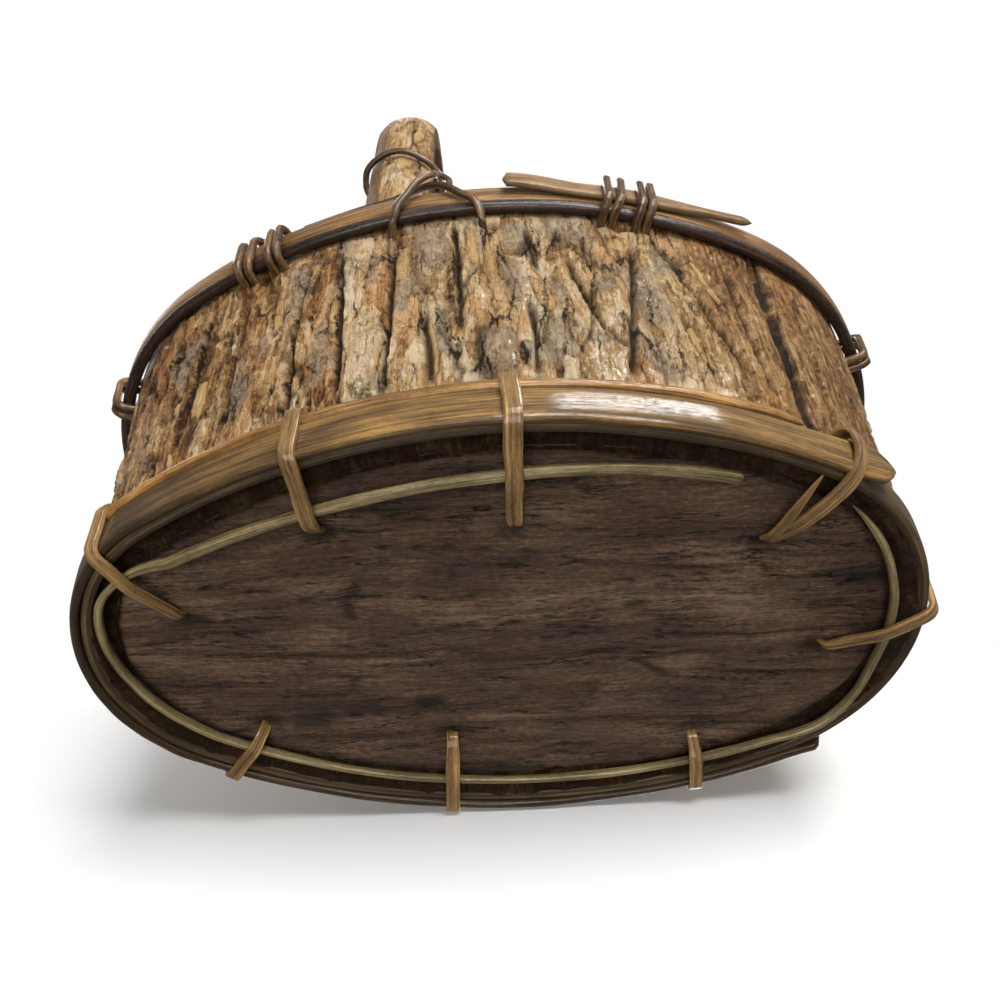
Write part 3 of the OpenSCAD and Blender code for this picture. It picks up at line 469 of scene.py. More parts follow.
def bark_finish(name):
    """Weathered brown bark with tan underbark, grey plates, dark cracks, painted shade and shadow lines, and
    a worn varnish.
    """
    material, tree, shader, add = blank(name, 0.6)
    paint = add("ShaderNodeAttribute", attribute_name="paint")
    place = add("ShaderNodeAttribute", attribute_name="way").outputs["Vector"]
    worn = add("ShaderNodeAttribute", attribute_name="worn").outputs["Fac"]
    lively = between(add, worn, 0.0, 1.0, 1.0, 0.3)
    parts = add("ShaderNodeSeparateColor", [(0, paint.outputs["Color"])])
    torn = jagged(add, jagged(add, place, (0.2, 0.08, 1), (6, 16, 0)), (1.1, 0.6, 1), (1.8, 4.0, 0))
    plate_tone, plate_hue, plate_line = flakes(add, torn, 6.0, 34.0)
    flake_tone, flake_hue, flake_line = flakes(add, torn, 2.2, 9.0)
    chip_tone, _, chip_line = flakes(add, torn, 0.8, 2.2)
    fibre = stretched(add, place, (1.5, 0.1, 1), 7, 0.66)
    fleck = stretched(add, place, (0.8, 0.38, 1), 11, 0.78)
    grit = stretched(add, place, (3.0, 1.9, 1), 7, 0.75)
    stain = stretched(add, place, (0.07, 0.04, 1), 4)
    gaps = between(add, stretched(add, place, (0.16, 0.1, 1), 4), 0.42, 0.56)
    shown = [times(add, tone, lively) for tone in (plate_tone, flake_tone, chip_tone)]
    plate_tone, flake_tone, chip_tone = shown
    mixed = sums(
        add, (parts.outputs[0], 0.5), (plate_tone, 0.32), (flake_tone, 0.36), (chip_tone, 0.22),
        (fibre, 1.1), (fleck, 1.5), (grit, 1.1), (stain, 0.7),
    )
    body = shades(
        add, between(add, mixed, 2.16, 3.09), (0.0, (0.026, 0.01, 0.003)), (0.25, (0.16, 0.072, 0.021)),
        (0.5, (0.43, 0.235, 0.082)), (0.75, (0.66, 0.435, 0.2)), (1.0, (0.86, 0.67, 0.43)),
    )
    rusty = times(
        add, between(add, sums(add, (plate_hue, 0.5), (flake_hue, 0.3), (stain, 0.6)), 0.66, 0.84),
        between(add, worn, 0.0, 1.0, 0.75, 0.85)
    )
    warm = add("ShaderNodeMix", [(6, body)], data_type="RGBA", blend_type="MULTIPLY", Factor=1.0)
    warm.inputs[7].default_value = (0.86, 0.64, 0.46, 1)
    body = blended(add, rusty, body, warm.outputs[2])
    ochre = shades(
        add, sums(add, (fibre, 0.6), (fleck, 0.4)), (0.3, (0.36, 0.18, 0.055)),
        (0.48, (0.66, 0.4, 0.15)), (0.66, (0.84, 0.6, 0.3))
    )
    weathered = shades(
        add, sums(add, (fleck, 0.6), (grit, 0.4)), (0.34, (0.09, 0.062, 0.036)),
        (0.5, (0.35, 0.27, 0.175)), (0.64, (0.7, 0.6, 0.46))
    )
    greyed = between(
        add, sums(add, (paint.outputs["Alpha"], 1.0), (fleck, 0.9), (flake_hue, 0.25)), 0.97, 1.2, 0.0,
        0.7
    )
    colour = blended(add, greyed, body, weathered)
    laid_bare = sums(add, (parts.outputs[2], 1.0), (fleck, 0.5), (fibre, 0.3))
    colour = blended(add, between(add, laid_bare, 0.85, 0.89), colour, ochre)
    # Painted shadow: a dark ring round the edge of each bare patch, as cast by the step there.
    rim = times(add, between(add, laid_bare, 0.78, 0.84), between(add, laid_bare, 0.89, 0.85))
    cracked = sums(add, (plate_line, 0.85), (flake_line, 0.6), (chip_line, 0.35))
    cracked = times(add, times(add, cracked, gaps), lively)
    # The dark mix holds the cracks and painted shade of the paint attribute, the lines round flakes, and the
    # painted shadow round bare patches.
    dark = sums(add, (parts.outputs[1], 0.95), (cracked, 0.85), (rim, 0.5))
    colour = blended(add, dark, colour, (0.024, 0.0105, 0.0035))
    tree.links.new(colour, shader.inputs["Base Color"])
    tree.links.new(
        between(add, sums(add, (fleck, 0.6), (stain, 0.4), (greyed, -0.1)), 0.38, 0.58, 0.26, 0.72),
        shader.inputs["Roughness"]
    )
    shader.inputs["Specular IOR Level"].default_value = 0.22
    varnish = times(
        add, between(add, sums(add, (stain, 0.5), (fleck, 0.5)), 0.5, 0.6, 0.0, 0.6),
        between(add, dark, 0.05, 0.3, 1.0, 0.0)
    )
    tree.links.new(varnish, shader.inputs["Coat Weight"])
    shader.inputs["Coat Roughness"].default_value = 0.16
    relief = sums(
        add, (plate_tone, 0.5), (flake_tone, 0.45), (chip_tone, 0.25), (cracked, -0.4),
        (fibre, 0.6), (fleck, 1.2), (grit, 0.6),
    )
    bump = add("ShaderNodeBump", [("Height", relief)], Strength=1.0, Distance=0.0015)
    tree.links.new(bump.outputs[0], shader.inputs["Normal"])
    return material


bark_wall = knit("bark_wall", ring, True, False, way, paint, worn_rows)
dress(bark_wall, "wall_bark", bark_finish("furrowed_bark"))


# Base board: a slab of dark bark that closes the foot, cut to the inside of the wall a little
# above its lower edge. Its grain runs the long way, with fine cracks and holes for the stitches.
BOARD_Z, BOARD_TOP = FOOT_Z + 1.6, FOOT_Z + 7.6
BOARD_COLUMNS, BOARD_ROWS = 230, 104
fit_out = 0.6 - FOOT_BARK
edge_turn = np.linspace(-90, 270, 7201)
edge_x, edge_y = outline(edge_turn, fit_out)
left_x, right_x = edge_x.min() + 0.15, edge_x.max() - 0.15
column_x = (left_x + right_x) / 2 - (right_x - left_x) / 2 * np.cos(np.linspace(0, np.pi, BOARD_COLUMNS))
column_x = 0.75 * np.linspace(left_x, right_x, BOARD_COLUMNS) + 0.25 * column_x
lower_half = edge_y < 0
order = np.argsort(edge_x[lower_half])
reach_y = np.interp(column_x, edge_x[lower_half][order], -edge_y[lower_half][order])
share = np.linspace(-1, 1, BOARD_ROWS)[:, None]
board_x, board_y = np.broadcast_arrays(column_x[None], share * reach_y[None])
bent_y = (
    board_y + 1.6 * mottle(board_x / 45, board_y / 16, 61) + 0.5 * mottle(board_x / 14, board_y / 5, 62)
)
grain_edge, grain_tone = plates(board_x / 48, bent_y / 5.2, 63)
_, shred_tone = plates(board_x / 17, bent_y / 1.7, 64)
rift = 1 - ramp(grain_edge, 0.0, 0.1)
rift = rift * ramp(mottle(board_x / 20, board_y / 9, 65), -0.2, 0.35)
board_relief = (
    0.28 * (grain_tone - 0.5) + 0.22 * (shred_tone - 0.5) - 0.5 * rift
    + 0.14 * mottle(board_x / 9, bent_y / 0.9, 66) + 0.4 * mottle(board_x / 40, board_y / 22, 67)
)
board_tone = (
    0.45 * grain_tone + 0.35 * shred_tone + 0.2 * (0.5 + 0.5 * mottle(board_x / 50, board_y / 18, 68))
)
# Painted shade: the board is painted darker along its rim, in the corner where it meets the wall.
board_dark = np.clip(0.85 * rift + 0.6 * ramp(np.abs(share), 0.88, 1.0), 0, 1)
# Dark stains and hollows, and long cracks along the grain: place, half length, half width, depth
for x, y, long, wide, deep in (
    (73, -11, 7, 2.2, 0.9), (-44, 23, 4.5, 3.0, 0.9), (-18, 20, 3.5, 2.2, 0.9), (-40, 29, 22, 1.2, 0.5),
    (10, 27, 30, 1.0, 0.4),
    (-24, -30.4, 26, 0.5, 0.9), (-8, -28, 13, 0.4, 0.9), (30, -17, 40, 0.35, 0.8),
    (52, -20, 12, 0.7, 0.8), (-30, 4, 24, 0.35, 0.7),
    (20, 8, 34, 0.35, 0.7), (46, 3, 20, 0.4, 0.8), (-56, -2, 14, 0.4, 0.7), (4, -6, 22, 0.3, 0.6),
    (60, 14, 16, 0.5, 0.8),
):
    mark = np.exp(-(((board_x - x) / long) ** 4) - ((bent_y - y) / wide) ** 2)
    board_relief, board_dark = board_relief - 0.8 * deep * mark, np.maximum(board_dark, deep * mark)
STITCHES = {
    "front_left": (-106.5, 10, 15.3, "outer", 2.9), "front_middle": (-90.8, 0, 21.5, "outer", 3.4),
    "front_right": (-65, 12, 18.3, "free end", 2.8), "right_end": (-6, -28, 20, "under", 2.5),
    "back_right": (74, 12, 10, "outer", 3.0),
    "back_middle": (97, -5, 16.2, "outer", 3.2), "back_left": (117, 12, 10, "outer", 3.0),
    "left_end": (-135, 16, 18.5, "outer", 2.4),
}


def stitch_place(station, x, y):
    """A place beside a stitch: x outwards from the foot line and y along it, turned by its slant."""
    foot_x, foot_y = outline(station[0], 0)
    turn = math.radians(station[0] + station[1])
    return (
        foot_x + x * math.cos(turn) - y * math.sin(turn), foot_y + x * math.sin(turn)
        + y * math.cos(turn)
    )


for station in STITCHES.values():
    hole_x, hole_y = stitch_place(station, -station[2] - 1.5, 0)
    aside = board_x - hole_x + 1.2 * mottle(board_x / 3, board_y / 1.5, 69)
    past = board_y - hole_y + 0.5 * mottle(board_x / 2, board_y, 70)
    hole = np.exp(-((aside / 3.8) ** 2) - (past / 1.8) ** 2)
    board_relief, board_dark = board_relief - 1.6 * hole, np.maximum(board_dark, 0.95 * hole)
under_side = BOARD_Z - np.clip(board_relief, -2, 0.5)
upper_side = np.flip(BOARD_TOP + 0.3 * mottle(board_x / 20, bent_y / 2.5, 70) * (1 - share ** 8), 0)
board_ring = np.concatenate([
    np.stack([board_x, board_y, under_side], -1),
    np.stack([board_x, np.flip(board_y, 0), upper_side], -1),
])
board_paint = np.stack([
    np.concatenate([board_tone, np.flip(board_tone, 0)]),
    np.concatenate([board_dark, 0.5 * np.flip(board_dark, 0)]),
    np.concatenate([0 * board_x, 0 * board_x]), np.concatenate([0 * board_x, 0 * board_x]),
], -1)
board_way = np.stack([
    np.concatenate([board_x, board_x]), np.concatenate([bent_y, np.flip(bent_y, 0)]),
    0 * np.concatenate([board_x, board_x]),
], -1)
base_slab = knit("base_slab", board_ring, True, False, board_way, board_paint)


def slab_finish():
    """Dark brown bark with fine grain along the board, greyed streaks and black cracks."""
    material, tree, shader, add = blank("base_slab_bark", 0.6)
    paint = add("ShaderNodeAttribute", attribute_name="paint")
    place = add("ShaderNodeAttribute", attribute_name="way").outputs["Vector"]
    parts = add("ShaderNodeSeparateColor", [(0, paint.outputs["Color"])])
    grain = stretched(add, place, (0.035, 1.6, 1), 7, 0.66)
    fine = stretched(add, place, (0.14, 6.0, 1), 6, 0.65)
    cloud = stretched(add, place, (0.03, 0.07, 1), 4)
    fleck = stretched(add, place, (0.6, 1.4, 1), 6, 0.7)
    streak = stretched(add, place, (0.012, 0.55, 1), 5, 0.6)
    mixed = sums(
        add, (parts.outputs[0], 0.35), (grain, 0.45), (fine, 0.5), (cloud, 1.0), (fleck, 0.9),
        (streak, 0.1)
    )
    colour = shades(
        add, between(add, mixed, 1.28, 1.96), (0.0, (0.018, 0.009, 0.005)), (0.3, (0.058, 0.03, 0.017)),
        (0.6, (0.115, 0.063, 0.035)), (1.0, (0.26, 0.165, 0.103)),
    )
    drift = stretched(add, place, (0.02, 0.22, 1), 6, 0.6)
    off = add("ShaderNodeMath", [(0, sums(add, (drift, 1.0), (fleck, 0.04)))], operation="PINGPONG")
    off.inputs[1].default_value = 0.06
    split = times(
        add, between(add, off.outputs[0], 0.0, 0.01, 1.0, 0.0),
        between(add, stretched(add, place, (0.04, 0.12, 1), 3), 0.44, 0.54)
    )
    # The dark channel holds cracks, stains, stitch holes and the painted shade along the board's rim.
    colour = blended(add, sums(add, (parts.outputs[1], 0.9), (split, 0.95)), colour, (0.008, 0.005, 0.003))
    tree.links.new(colour, shader.inputs["Base Color"])
    relief = sums(add, (grain, 0.7), (fine, 0.6), (fleck, 0.5), (split, -0.5))
    bump = add("ShaderNodeBump", [("Height", relief)], Strength=0.9, Distance=0.0009)
    tree.links.new(bump.outputs[0], shader.inputs["Normal"])
    tree.links.new(between(add, cloud, 0.3, 0.7, 0.48, 0.75), shader.inputs["Roughness"])
    shader.inputs["Specular IOR Level"].default_value = 0.3
    return material


dress(base_slab, "base_board", slab_finish())

# Foot canes: a flat cane next to the bark, the wide split cane that shows over it with one free
# end cut aslant at the right front, a thin cane along its upper edge, and a thin hoop in the
# corner of wall and board. All are varnished split cane, held by the stitches.


def on_wall(angle, up, out):
    """A place on the wall: compass angle, height up the slope, distance out from the face."""
    x, y = outline(angle, up * math.sin(FLARE) + out * math.cos(FLARE))
    return np.stack(np.broadcast_arrays(x, y, FOOT_Z + up * math.cos(FLARE) - out * math.sin(FLARE)), -1)


def face_of(angle):
    """The way that the wall faces at a compass angle."""
    turn = np.radians(angle)
    return np.stack(
        [np.cos(turn) * math.cos(FLARE), np.sin(turn) * math.cos(FLARE), 0 * turn - math.sin(FLARE)], -1
    )


def lay_cane(
    name, path, face, width, thick, squareness, seed, closed=False, points=(0, 0), sides=18, swell=1.0
):
    """Cane along a path in mm, its flat side square to the face: squareness 0 is round, 1 flat."""
    path, face = np.asarray(path, float), np.asarray(face, float)
    ahead = np.roll(path, -1, 0) - np.roll(path, 1, 0) if closed else np.gradient(path, axis=0)
    ahead = ahead / np.linalg.norm(ahead, axis=1)[:, None]
    face = face - (face * ahead).sum(1)[:, None] * ahead
    face = face / np.linalg.norm(face, axis=1)[:, None]
    across = np.cross(ahead, face)
    length = np.concatenate([[0], np.cumsum(np.linalg.norm(np.diff(path, axis=0), axis=1))])
    power = 1 - 0.72 * squareness
    k = np.linspace(0, 2 * np.pi, sides, endpoint=False)
    broad = np.sign(np.cos(k)) * np.abs(np.cos(k)) ** power * width / 2
    deep = np.sign(np.sin(k)) * np.abs(np.sin(k)) ** power * thick / 2
    ends = np.ones(len(path))
    for tip, from_end in zip(points, (length, length[-1] - length)):
        if tip:
            ends = np.minimum(ends, 0.12 + 0.88 * np.clip(from_end / tip, 0, 1) ** 0.7)
    if closed:
        turn = 2 * np.pi * length / (length[-1] + np.linalg.norm(path[0] - path[-1]))
        wander = [mottle(3 * np.cos(turn) + j, 3 * np.sin(turn), seed + j) for j in range(2)]
    else:
        wander = [mottle(length / 13 + 0.37, length * 0 + 0.5 + j, seed + j) for j in range(2)]
    grow_w = (swell * ends * (1 + 0.07 * wander[0]))[:, None]
    grow_t = (ends * (1 + 0.1 * wander[1]))[:, None]
    crease = 1 + 0.04 * mottle(
        k[None] * 1.3 + 0 * length[:, None], length[:, None] / 22 + 0 * k[None], seed + 7
    )
    ring = path[None] + (
        (broad[:, None, None] * (grow_w * crease)[None, :, :].transpose(2, 1, 0)) * across[None]
        + (deep[:, None, None] * (grow_t * crease)[None, :, :].transpose(2, 1, 0)) * face[None]
    )
    around = np.concatenate([[0], np.cumsum(np.hypot(np.diff(broad), np.diff(deep)))])
    way = np.stack(np.broadcast_arrays(length[None], around[:, None], np.full((1, 1), seed * 1.0)), -1)
    return knit(name, ring, True, closed, way)


def cane_finish(name, pale, mid, deep, roughness, coat=0.25, clear=None):
    """Varnished split cane: fine fibres along it, darker streaks, stains and a satin shine, and painted
    shade towards one end when clear is given.
    """
    material, tree, shader, add = blank(name, roughness)
    place = add("ShaderNodeAttribute", attribute_name="way").outputs["Vector"]
    fibre = stretched(add, place, (0.02, 1.3, 1), 6, 0.66)
    hair = stretched(add, place, (0.05, 3.6, 1), 5, 0.65)
    stain = stretched(add, place, (0.06, 0.22, 1), 6, 0.62)
    speck = stretched(add, place, (0.55, 1.5, 1), 8, 0.75)
    mixed = sums(add, (fibre, 1.3), (hair, 0.9), (stain, 0.9), (speck, 0.5))
    colour = shades(add, between(add, mixed, 1.52, 2.08), (0.0, deep), (0.5, mid), (1.0, pale))
    if clear:
        # Painted shade: up to the first length in clear the cane is painted darker, fading out by the
        # second, broken up by the stains.
        ahead = add("ShaderNodeSeparateXYZ", [(0, place)]).outputs[0]
        painted_end_shade = sums(add, (between(add, ahead, clear[0], clear[1]), 1.0), (stain, 0.7))
        colour = blended(
            add, between(add, painted_end_shade, 0.5, 1.2, 0.85, 0.0), colour, tuple(0.6 * tint for tint in deep)
        )
    scar = between(add, sums(add, (speck, 0.7), (hair, 0.3)), 0.62, 0.68)
    colour = blended(
        add, times(add, scar, between(add, stain, 0.5, 0.6)), colour,
        tuple(min(1.0, 1.5 * tint + 0.05) for tint in pale)
    )
    nick = between(add, sums(add, (speck, 0.6), (fibre, 0.4)), 0.4, 0.34)
    colour = blended(add, nick, colour, tuple(0.35 * tint for tint in deep))
    tree.links.new(colour, shader.inputs["Base Color"])
    tree.links.new(
        between(add, speck, 0.35, 0.65, roughness - 0.1, roughness + 0.2), shader.inputs["Roughness"]
    )
    tree.links.new(
        between(add, sums(add, (speck, 0.6), (hair, 0.4)), 0.43, 0.58, 0.15 * coat, coat),
        shader.inputs["Coat Weight"]
    )
    shader.inputs["Specular IOR Level"].default_value = 0.25
    shader.inputs["Coat Roughness"].default_value = 0.12
    bump = add(
        "ShaderNodeBump", [("Height", sums(add, (fibre, 0.8), (hair, 0.5), (speck, 0.6)))],
        Strength=0.9, Distance=0.0005
    )
    tree.links.new(bump.outputs[0], shader.inputs["Normal"])
    return material


BAND_UP, BAND_OUT, BAND_WIDTH, BAND_THICK = 2.25, 2.35, 8.5, 1.9
# The outer band is painted darker from its start at the back round the left end, fading out along the front
# left: painted shade where it turns away from the lamps.
olive_cane = cane_finish(
    "olive_cane", (0.35, 0.195, 0.05), (0.14, 0.073, 0.018), (0.038, 0.018, 0.005), 0.36, coat=0.8,
    clear=(205, 275)
)
angles = walk(0, 360, 1.6)[:-1]
wave = 0.15 * mottle(3 * np.cos(np.radians(angles)), 3 * np.sin(np.radians(angles)), 81)
under_band = lay_cane(
    "under_band", on_wall(angles, 1.9 + wave, 0.3), face_of(angles), 7.0, 2.4, 0.8, 82, closed=True
)
dress(
    under_band, "base_under_band",
    cane_finish("under_cane", (0.17, 0.11, 0.05), (0.075, 0.047, 0.022), (0.022, 0.013, 0.007), 0.36)
)

angles = walk(52, 290, 1.2)
lifted = 1.1 * ramp(angles, 64, 52)
path, face = on_wall(
    angles, BAND_UP + 0.2 * mottle(angles / 9, 0 * angles, 83), BAND_OUT + lifted
), face_of(angles)
tangent = np.array([-math.sin(math.radians(290)), math.cos(math.radians(290)), 0])
free = np.arange(1, 18)[:, None] * 1.2
path = np.concatenate([path, path[-1] + free * tangent])
face = np.concatenate([face, np.repeat(face[-1:], 17, 0)])
outer_band = lay_cane(
    "outer_band", path, face, BAND_WIDTH, BAND_THICK, 0.8, 84, points=(1.5, 3.5), sides=24
)
dress(outer_band, "base_outer_band", olive_cane)

angles = walk(-150, -69, 1.2)
path = on_wall(
    angles, 7.75 + 0.25 * mottle(angles / 5, 0 * angles, 85), 2.5 - 1.1 * ramp(angles, -128, -150)
)
filler = lay_cane("filler_cane", path, face_of(angles), 2.3, 2.5, 0.3, 86, points=(8, 5))
dress(
    filler, "base_filler_cane",
    cane_finish("orange_cane", (0.5, 0.27, 0.075), (0.25, 0.12, 0.028), (0.07, 0.03, 0.008), 0.3, coat=0.8)
)

angles = walk(-57, 287, 1.2)
x, y = outline(angles, -hoop_inset(angles))
path = np.stack([x, y, 2.75 + 0.1 * mottle(angles / 9, 0 * angles, 87)], -1)
inner_hoop = lay_cane(
    "inner_hoop", path, np.repeat([[0.0, 0.0, -1.0]], len(path), 0), 2.2, 1.8, 0.6, 88, points=(9, 1),
    swell=0.68 + 0.32 * ramp(np.abs(angles - 262), 45, 20)
)
dress(
    inner_hoop, "base_inner_hoop",
    cane_finish("hoop_cane", (0.44, 0.34, 0.15), (0.2, 0.145, 0.06), (0.05, 0.034, 0.014), 0.3, coat=1.0)
)

# Base stitches: eight straps of flat split cane, each pushed out through the wall above the foot
# canes, down over them, under the wall's foot and up through a hole in the board.
STITCH_THICK = 1.2
stitch_cane = cane_finish(
    "stitch_cane", (0.5, 0.3, 0.105), (0.25, 0.138, 0.043), (0.07, 0.034, 0.011), 0.32, coat=0.9
)
hole_z = FOOT_Z + STITCH_UP * math.cos(FLARE)
band_outside = 3.3


def free_end_rise(angle):
    """How far the band's straight free end stands off the canes at a compass angle."""
    start = math.radians(290)
    sx, sy = outline(290, band_outside)
    ax, ay = outline(angle, band_outside)
    ahead = (sx - ax) * math.cos(start) + (sy - ay) * math.sin(start)
    return ahead / math.cos(math.radians(angle) - start)


def rounded(corners, radii, step):
    """A closed path of corners, each rounded off by its own radius, with points about a step apart."""
    corners = np.asarray(corners, float)
    points = []
    for before, corner, after, radius in zip(
        np.roll(corners, 1, 0), corners, np.roll(corners, -1, 0), radii
    ):
        back, on = before - corner, after - corner
        back_cut, on_cut = min(radius, np.linalg.norm(back) * 0.48), min(radius, np.linalg.norm(on) * 0.48)
        start, stop = (
            corner + back / np.linalg.norm(back) * back_cut, corner + on / np.linalg.norm(on) * on_cut
        )
        for t in np.linspace(0, 1, 9)[:, None]:
            points.append((1 - t) ** 2 * start + 2 * t * (1 - t) * corner + t * t * stop)
    points = np.array(points)
    loop = np.vstack([points, points[:1]])
    length = np.concatenate([[0], np.cumsum(np.linalg.norm(np.diff(loop, axis=0), axis=1))])
    at = np.linspace(0, length[-1], int(length[-1] / step), endpoint=False)
    return np.stack([np.interp(at, length, loop[:, k]) for k in range(loop.shape[1])], -1)


def smooth_through(points, steps):
    """A smooth curve through points, with some steps from each to the next."""
    p = np.vstack([points[:1], points, points[-1:]])
    curve = []
    for a, b, c, d in zip(p, p[1:], p[2:], p[3:]):
        for t in np.arange(steps) / steps:
            square, cube = 2 * a - 5 * b + 4 * c - d, 3 * b - a - 3 * c + d
            curve.append(0.5 * (2 * b + (c - a) * t + square * t * t + cube * t ** 3))
    return np.array(curve + [points[-1]])


for seed, (name, station) in enumerate(STITCHES.items()):
    canes = {"outer": band_outside, "under": 1.5}.get(station[3])
    if canes is None:
        canes = band_outside + float(free_end_rise(station[0] + 3.4))
    stretch, half = 1 / math.cos(math.radians(station[1])), STITCH_THICK / 2
    room = station[4] / 4 * math.tan(math.radians(abs(station[1])))
    run_out = (canes + 0.1 + half) / math.cos(FLARE) + room
    hole_face, low_face = (hole_z - FOOT_Z) * math.tan(FLARE), (half - FOOT_Z) * math.tan(FLARE)
    past_hoop = 0.5 * station[2] if station[3] == "free end" else float(hoop_inset(station[0])) + 1.7
    corners = [
        ((hole_face + run_out) * stretch, hole_z), ((low_face + run_out) * stretch, half),
        (-past_hoop * stretch, half + 0.3), (-station[2], BOARD_Z - 0.3),
        (-station[2], BOARD_TOP + 0.4 + half),
        ((hole_face - FOOT_BARK) * stretch - room - 0.2 - half, hole_z),
    ]
    loop = rounded(
        corners,
        (6.0, 6.0, 5.0, 1.8, 1.5, 1.5) if station[3] == "free end" else (3.0, 2.4, 2.0, 1.8, 1.5, 1.5),
        0.6
    )
    narrow = 1 - 0.22 * np.exp(-((loop[:, 0] + station[2]) / 2.2) ** 2)
    sway = 0.2 * mottle(loop[:, 0] / 7, loop[:, 1] / 7, 90 + seed)
    x, y = stitch_place(station, loop[:, 0], sway)
    path = np.stack([x, y, loop[:, 1]], -1)
    heading = np.roll(loop, -1, 0) - np.roll(loop, 1, 0)
    turn = math.radians(station[0] + station[1])
    face = np.stack([-heading[:, 1] * math.cos(turn), -heading[:, 1] * math.sin(turn), heading[:, 0]], -1)
    strap = lay_cane(
        f"strap_{name}", path, face, station[4], STITCH_THICK, 1.0, 100 + 3 * seed, closed=True,
        sides=28, swell=narrow
    )
    if station[3] == "free end":
        # The end of this strap was split off and left loose beside it
        tail = smooth_through(
            np.array([
                (-18.3, -0.4, 5.6), (-15.5, -1.4, 3.2), (-11, -2.9, 1.7), (-6, -4.2, 1.2), (-1.5, -4.9, 1.3),
            ]),
            9
        )
        x, y = stitch_place(station, tail[:, 0], tail[:, 1])
        loose = lay_cane(
            "strap_tail", np.stack([x, y, tail[:, 2]], -1), np.repeat([[0.0, 0.0, -1.0]], len(tail), 0),
            2.0, 0.9, 1.0, 127, points=(0, 9), sides=20
        )
        strap.select_set(True)
        loose.select_set(True)
        bpy.context.view_layer.objects.active = strap
        bpy.ops.object.join()
        strap.select_set(False)
    dress(strap, f"stitch_{name}", stitch_cane)

# Rim hoops: a dark stained round cane outside the wall, and above it a flat split cane level with
# the top edge, lapped at the front by a second strip whose right end stands off.
FLAT_WIDTH, FLAT_THICK, RIM_HOOP = 7.0, 3.0, 3.2
FLAT_UP = SLOPE + 0.2 - FLAT_WIDTH / 2
RIM_HOOP_UP = SLOPE - FLAT_WIDTH - RIM_HOOP / 2
dark_cane = cane_finish(
    "dark_cane", (0.085, 0.04, 0.018), (0.026, 0.012, 0.006), (0.008, 0.004, 0.002), 0.26, coat=0.6
)
angles = walk(0, 360, 1.6)[:-1]
wave = mottle(5 * np.cos(np.radians(angles)), 5 * np.sin(np.radians(angles)), 131)
rim_hoop = lay_cane(
    "rim_hoop", on_wall(angles, RIM_HOOP_UP + 0.15 * wave, 1.7), face_of(angles), RIM_HOOP - 0.2, 3.0,
    0.1, 132, closed=True
)
dress(rim_hoop, "rim_outer_hoop", dark_cane)
tan_cane = cane_finish("tan_cane", (0.38, 0.215, 0.078), (0.18, 0.09, 0.029), (0.05, 0.022, 0.007), 0.36)
flat_hoop = lay_cane(
    "flat_hoop", on_wall(angles, FLAT_UP + 0.2 * wave, 0.2 + FLAT_THICK / 2), face_of(angles),
    FLAT_WIDTH, FLAT_THICK, 0.75, 133, closed=True
)
dress(flat_hoop, "rim_flat_hoop", tan_cane)

angles = walk(-90, -77, 1.0)
raised = ramp(angles, -83, -90)
path, face = on_wall(angles, FLAT_UP + 2.0 * raised, 4.15 + 1.2 * raised), face_of(angles)
tangent = np.array([-math.sin(math.radians(-77)), math.cos(math.radians(-77)), 0])
free = np.arange(1, 28)[:, None] * 1.0
path = np.concatenate([path, path[-1] + free * tangent])
face = np.concatenate([face, np.repeat(face[-1:], 27, 0)])
slim = 1 - 0.5 * ramp(np.arange(len(path)) * 1.0, len(path) - 30, len(path) - 12)
lap_strip = lay_cane("lap_strip", path, face, 5.8, 1.7, 0.75, 134, points=(0.6, 2.5), sides=20, swell=slim)
dress(
    lap_strip, "rim_lap_strip",
    cane_finish("grey_cane", (0.4, 0.26, 0.12), (0.19, 0.105, 0.042), (0.055, 0.028, 0.011), 0.42)
)

# Rim lashings: thin split cane wound round the rim canes and through holes below them, as pairs
# of turns that cross from one pair to the next.
LASHINGS = {
    "front_left": (-112, 2, 3.4), "front_right": (-79.5, 2, 4.9), "right_end": (-27, 1, 3.4),
    "back_right": (79, 2, 3.4), "back_left": (112, 2, 3.4), "left_end": (-158, 1, 3.4),
}
LASH, LASH_PITCH, LASH_STEP, LASH_CORNER = 2.0, 2.6, 8.6, 2.6
lash_low, lash_top = RIM_HOOP_UP - RIM_HOOP / 2 - LASH, SLOPE + 0.4 + LASH / 2
lash_inside = -(4.5 + 0.7 + LASH / 2)
lashing_cane = cane_finish(
    "lashing_cane", (0.3, 0.155, 0.045), (0.085, 0.038, 0.012), (0.02, 0.009, 0.003), 0.26, coat=1.0
)


